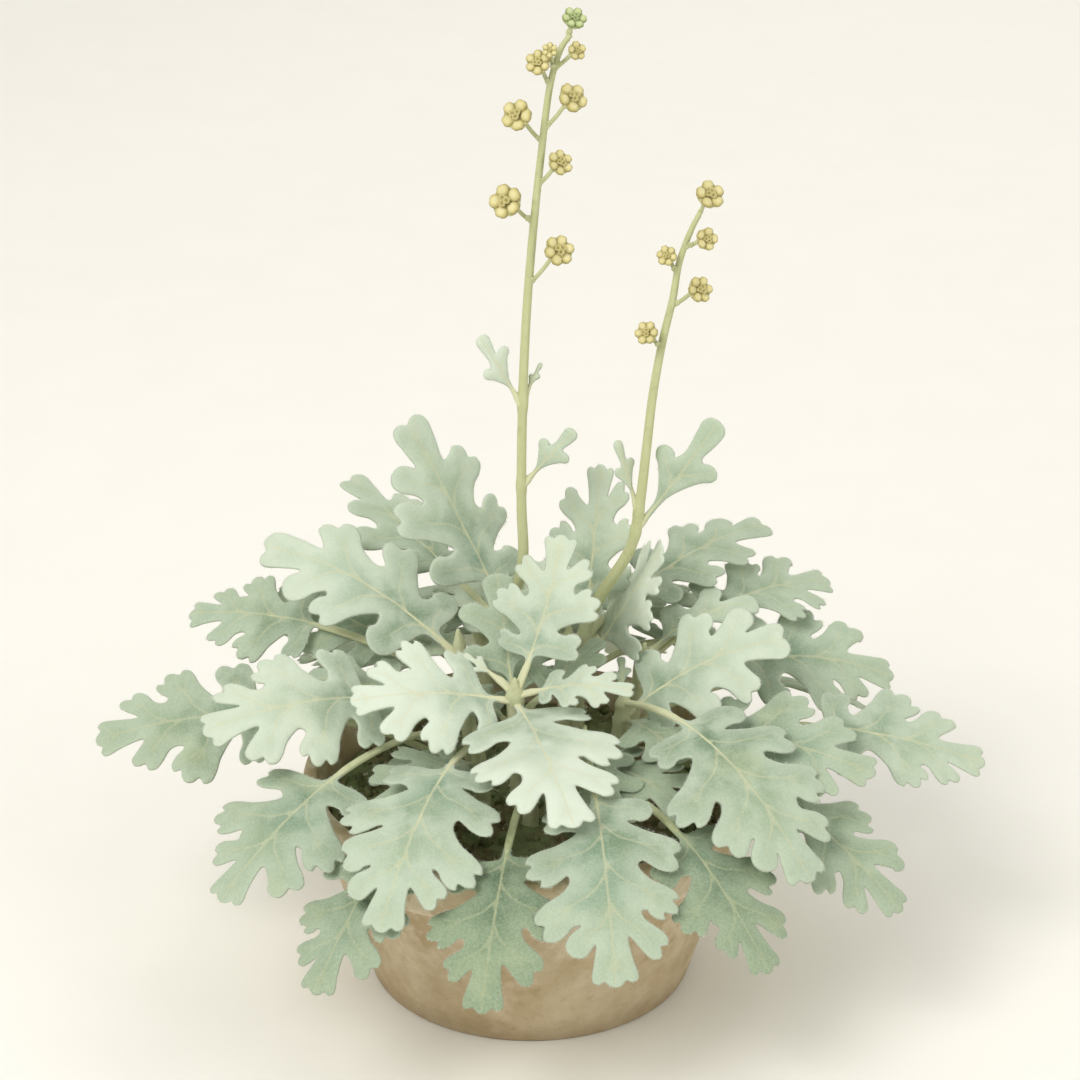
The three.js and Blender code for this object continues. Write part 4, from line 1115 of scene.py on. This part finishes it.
def leaf_felt():
    """Silver felt: grey green, with painted shade darkening the base, paler at margins and tips, with cream
    veins.
    """
    sheen = {"Sheen_Weight": 0.35, "Sheen_Roughness": 0.45, "Sheen_Tint": (240, 246, 232)}
    f = Finish("silver_felt", 0.9, Specular_IOR_Level=0.2, **sheen)
    tone, along, edge = f.field("tone"), f.field("along"), f.field("edge")
    pale = f.mix(tone, (142, 161, 128), (209, 221, 202))
    # The base follows the leaf's whiteness, which carries painted shade on the inner leaves
    f.base = f.mix(tone, (112, 134, 102), (170, 189, 159))
    # Painted shade: the blade darkens towards its base, which lies in the shade of the leaves above
    f.cover(f.fall(along, 0.05, 0.7), f.mix(tone, (62, 90, 60), (94, 126, 92)))
    f.cover(f.clouds(0.5, 0.7, 26, 2), f.mix(tone, (94, 128, 106), (154, 182, 162)), 0.4)
    f.cover(f.fall(edge, 0.5, 9.0), pale, 0.55)
    f.cover(f.clouds(0.4, 0.68, 9, 4), pale, 0.5)
    f.cover(f.clouds(0.55, 0.75, 17, 2), (186, 194, 154), 0.25)
    f.cover(f.times(f.ramp(tone, 0.6, 1.1), f.ramp(along, 0.05, 0.65)), (226, 233, 219), 0.5)
    f.cover(f.fall(edge, 0.0, 1.3), pale, 0.6)
    line = f.times(f.fall(f.field("vein"), 0.12, 0.62), f.field("strength"), clamp=True)
    f.cover(line, f.mix(tone, (170, 176, 136), (208, 206, 170)), 0.75)
    f.cover(f.field("under"), (184, 196, 172), 0.6)
    f.cover(f.clouds(0.3, 0.75, 0.7, 3, 0.65), (232, 238, 224), 0.16)
    return f.done(f.plus(f.noise(0.45, 4, 0.7), f.times(f.noise(1.6, 3), 0.8)), 0.22, 0.7)


def stalk_felt():
    """Stems, leaf stalks and midribs: yellow green under thin felt, with pale streaks and darker patches."""
    sheen = {"Sheen_Weight": 0.3, "Sheen_Roughness": 0.4, "Sheen_Tint": (240, 244, 222)}
    f = Finish("stalk_felt", 0.85, Specular_IOR_Level=0.25, **sheen)
    # Whiteness from the stem or the leaf; a leaf stalk carries its leaf's painted shade
    f.base = f.mix(f.field("tone"), (164, 174, 130), (214, 214, 178))
    f.cover(f.fall(f.field("along"), -0.6, 0.0), (190, 194, 146))
    f.cover(f.clouds(0.35, 0.7, 1.2, 3, 0.6, (1.0, 1.0, 0.15)), (212, 216, 178), 0.3)
    f.cover(f.clouds(0.55, 0.75, 3.5, 3), (148, 154, 102), 0.3)
    return f.done(f.noise(0.5, 4, 0.7, (1.0, 1.0, 0.4)), 0.15, 0.6)


def hair_felt():
    f = Finish("felt_hairs", 0.9, (222, 230, 212), Specular_IOR_Level=0.2, Sheen_Weight=0.4)
    f.cover(f.noise(3, 2), (244, 246, 238))
    return f.done()


def head_felt(name, pale, middle, crease_shade):
    """Florets, paler in their middles, with painted shade in the creases between them and in the hollows of
    the open ones.
    """
    # The base colour is painted shade, left in the creases and under the florets where the middles' colours
    # don't reach
    f = Finish(name, 0.8, crease_shade, Specular_IOR_Level=0.25, Sheen_Weight=0.25, Sheen_Roughness=0.4)
    edge = f.field("edge")
    f.cover(f.ramp(edge, 0.0, 0.3), middle)
    f.cover(f.times(f.ramp(edge, 0.25, 0.7), f.field("tone")), pale)
    f.cover(f.clouds(0.4, 0.7, 0.8, 3), pale, 0.35)
    # Painted shade in the hollows of the open florets
    f.cover(f.field("vein"), crease_shade, 0.45)
    f.cover(f.field("under"), (178, 184, 138), 0.55)
    return f.done(f.plus(f.noise(0.35, 3, 0.6), f.noise(1.1, 2)), 0.14, 0.6)


def clay():
    """Sun-bleached unglazed clay with specks, darker low down and with a chalky bloom towards the collar."""
    f = Finish("pale_clay", 0.92, (180, 160, 126), Specular_IOR_Level=0.25)
    height = f.field("edge")
    f.cover(f.clouds(0.35, 0.7, 22, 5, 0.6), (202, 186, 154))
    f.cover(f.clouds(0.5, 0.75, 5, 5, 0.7), (160, 140, 106), 0.4)
    f.cover(f.times(f.clouds(0.46, 0.62, 14, 6, 0.65), f.ramp(height, 10, 64, 0.2, 0.75)), (222, 210, 186))
    f.cover(f.ramp(height, 1, 12, 0.35, 0.0), (138, 120, 92))
    grains = f.node("TexVoronoi", {"Vector": f.place, "Scale": 1 / (0.8 * MM)}, "Distance")
    speck = f.times(f.fall(grains, 0.0, 0.35), f.clouds(0.55, 0.65, 2.5, 2))
    f.cover(speck, (112, 92, 72), 0.5)
    relief = f.plus(f.noise(0.6, 5, 0.7), f.noise(3, 3))
    return f.done(f.math("SUBTRACT", relief, speck), 0.25, 0.6)


def earth():
    """Sandy soil with a film of moss, and pale grit on the crumbs marked as such."""
    f = Finish("sandy_soil", 0.97, (104, 96, 68), Specular_IOR_Level=0.15)
    f.cover(f.clouds(0.35, 0.7, 4, 5, 0.7), (152, 140, 106))
    f.cover(f.clouds(0.55, 0.75, 0.9, 4, 0.6), (164, 148, 116), 0.5)
    f.cover(f.field("tone"), (150, 130, 98), 0.35)
    f.cover(f.clouds(0.36, 0.56, 14, 3, 0.6), f.mix(f.noise(1.3, 3), (100, 120, 78), (142, 158, 112)), 0.75)
    f.cover(f.field("edge"), (222, 216, 198), 0.85)
    return f.done(f.plus(f.noise(0.7, 5, 0.75), f.noise(2.2, 4, 0.6)), 0.6, 0.8)


# The studio, in metres: a pale floor that bends up behind the plant, a soft sky and three large lamps
STUDIO = Values(
    half_width=5.0,
    front=-3.0,
    bend_from=2.2,
    bend=1.2,
    wall_top=4.0,
    sky=(1.0, 0.985, 0.95, 1.0),
    sky_strength=0.54,
    lamp_colour=(1.0, 0.985, 0.955),
    lit_place=(0, 0, 0.14),
)
# (name, place, size, watts)
LAMPS = [
    ("key_light", (-0.9, -1.1, 1.6), 1.0, 26),
    ("fill_light", (1.4, -0.9, 0.9), 1.4, 8),
    ("back_light", (0.4, 1.4, 1.5), 1.2, 10),
]


def backdrop():
    start, bend = STUDIO.bend_from, STUDIO.bend
    steps = [(STUDIO.front, 0.0), (start, 0.0)]
    for a in np.linspace(0.1, math.pi / 2, 16):
        steps.append((start + bend * math.sin(a), bend - bend * math.cos(a)))
    steps.append((start + bend, STUDIO.wall_top))
    vertices = [(x, y, z) for y, z in steps for x in (-STUDIO.half_width, STUDIO.half_width)]
    faces = [(2 * i, 2 * i + 1, 2 * i + 3, 2 * i + 2) for i in range(len(steps) - 1)]
    paper = Finish("paper_floor", 0.95, (240, 238, 231), Specular_IOR_Level=0.1)
    paper.cover(paper.noise(40, 4), (244, 242, 236))
    floor = show("studio_floor", new_mesh("studio_floor", vertices, faces, [paper.done()]))


def light():
    world = bpy.data.worlds.new("soft_white")
    world.use_nodes = True
    sky = world.node_tree.nodes["Background"]
    sky.inputs["Color"].default_value = STUDIO.sky
    sky.inputs["Strength"].default_value = STUDIO.sky_strength
    bpy.context.scene.world = world
    for name, place, size, watts in LAMPS:
        data = bpy.data.lights.new(name, "AREA")
        data.size = size
        data.energy = watts
        data.color = STUDIO.lamp_colour
        lamp = show(name, data)
        lamp.location = place
        towards = Vector(STUDIO.lit_place) - Vector(place)
        lamp.rotation_euler = towards.to_track_quat("-Z", "Y").to_euler()


def camera():
    lens = bpy.data.cameras.new("photo_camera")
    lens.lens = CAMERA.lens
    lens.sensor_width = CAMERA.sensor
    lens.clip_end = 20
    eye = show("photo_camera", lens)
    tilt = math.radians(CAMERA.elevation)
    back = Vector((0, -math.cos(tilt), math.sin(tilt)))
    eye.location = Vector(CAMERA.aim) * MM + back * CAMERA.distance * MM
    eye.rotation_euler = (math.radians(90) - tilt, 0, 0)
    bpy.context.scene.camera = eye


felts = [leaf_felt(), stalk_felt(), hair_felt()]
for node, shoot in SHOOTS.items():
    skin = Skin()
    stem(skin, shoot)
    for row in shoot.leaves:
        leaf(skin, shoot, row)
    for i, row in enumerate(shoot.heads):
        pedicel(skin, shoot, row[0] + i, row)
    skin.piece(node + "_felted", felts, node, "felted_leaf")

# The last colour of each is painted shade for the creases and hollows
florets = {
    OCHRE: head_felt("ochre_florets", (224, 215, 164), (200, 190, 128), (162, 150, 94)),
    GREEN: head_felt("green_florets", (206, 214, 164), (176, 190, 132), (124, 140, 84)),
}
for size in ("tall", "short"):
    shoot = SHOOTS[f"{size}_flowering_shoot"]
    for i, row in enumerate(shoot.heads):
        name = f"{size}_stalk_head_{i + 1}"
        flower_head(f"{name}_florets", name, shoot, row[0] + i, row, florets[row[5]])

pot(clay())
soil(earth())
backdrop()
light()
camera()
bpy.context.scene.view_settings.view_transform = "Standard"
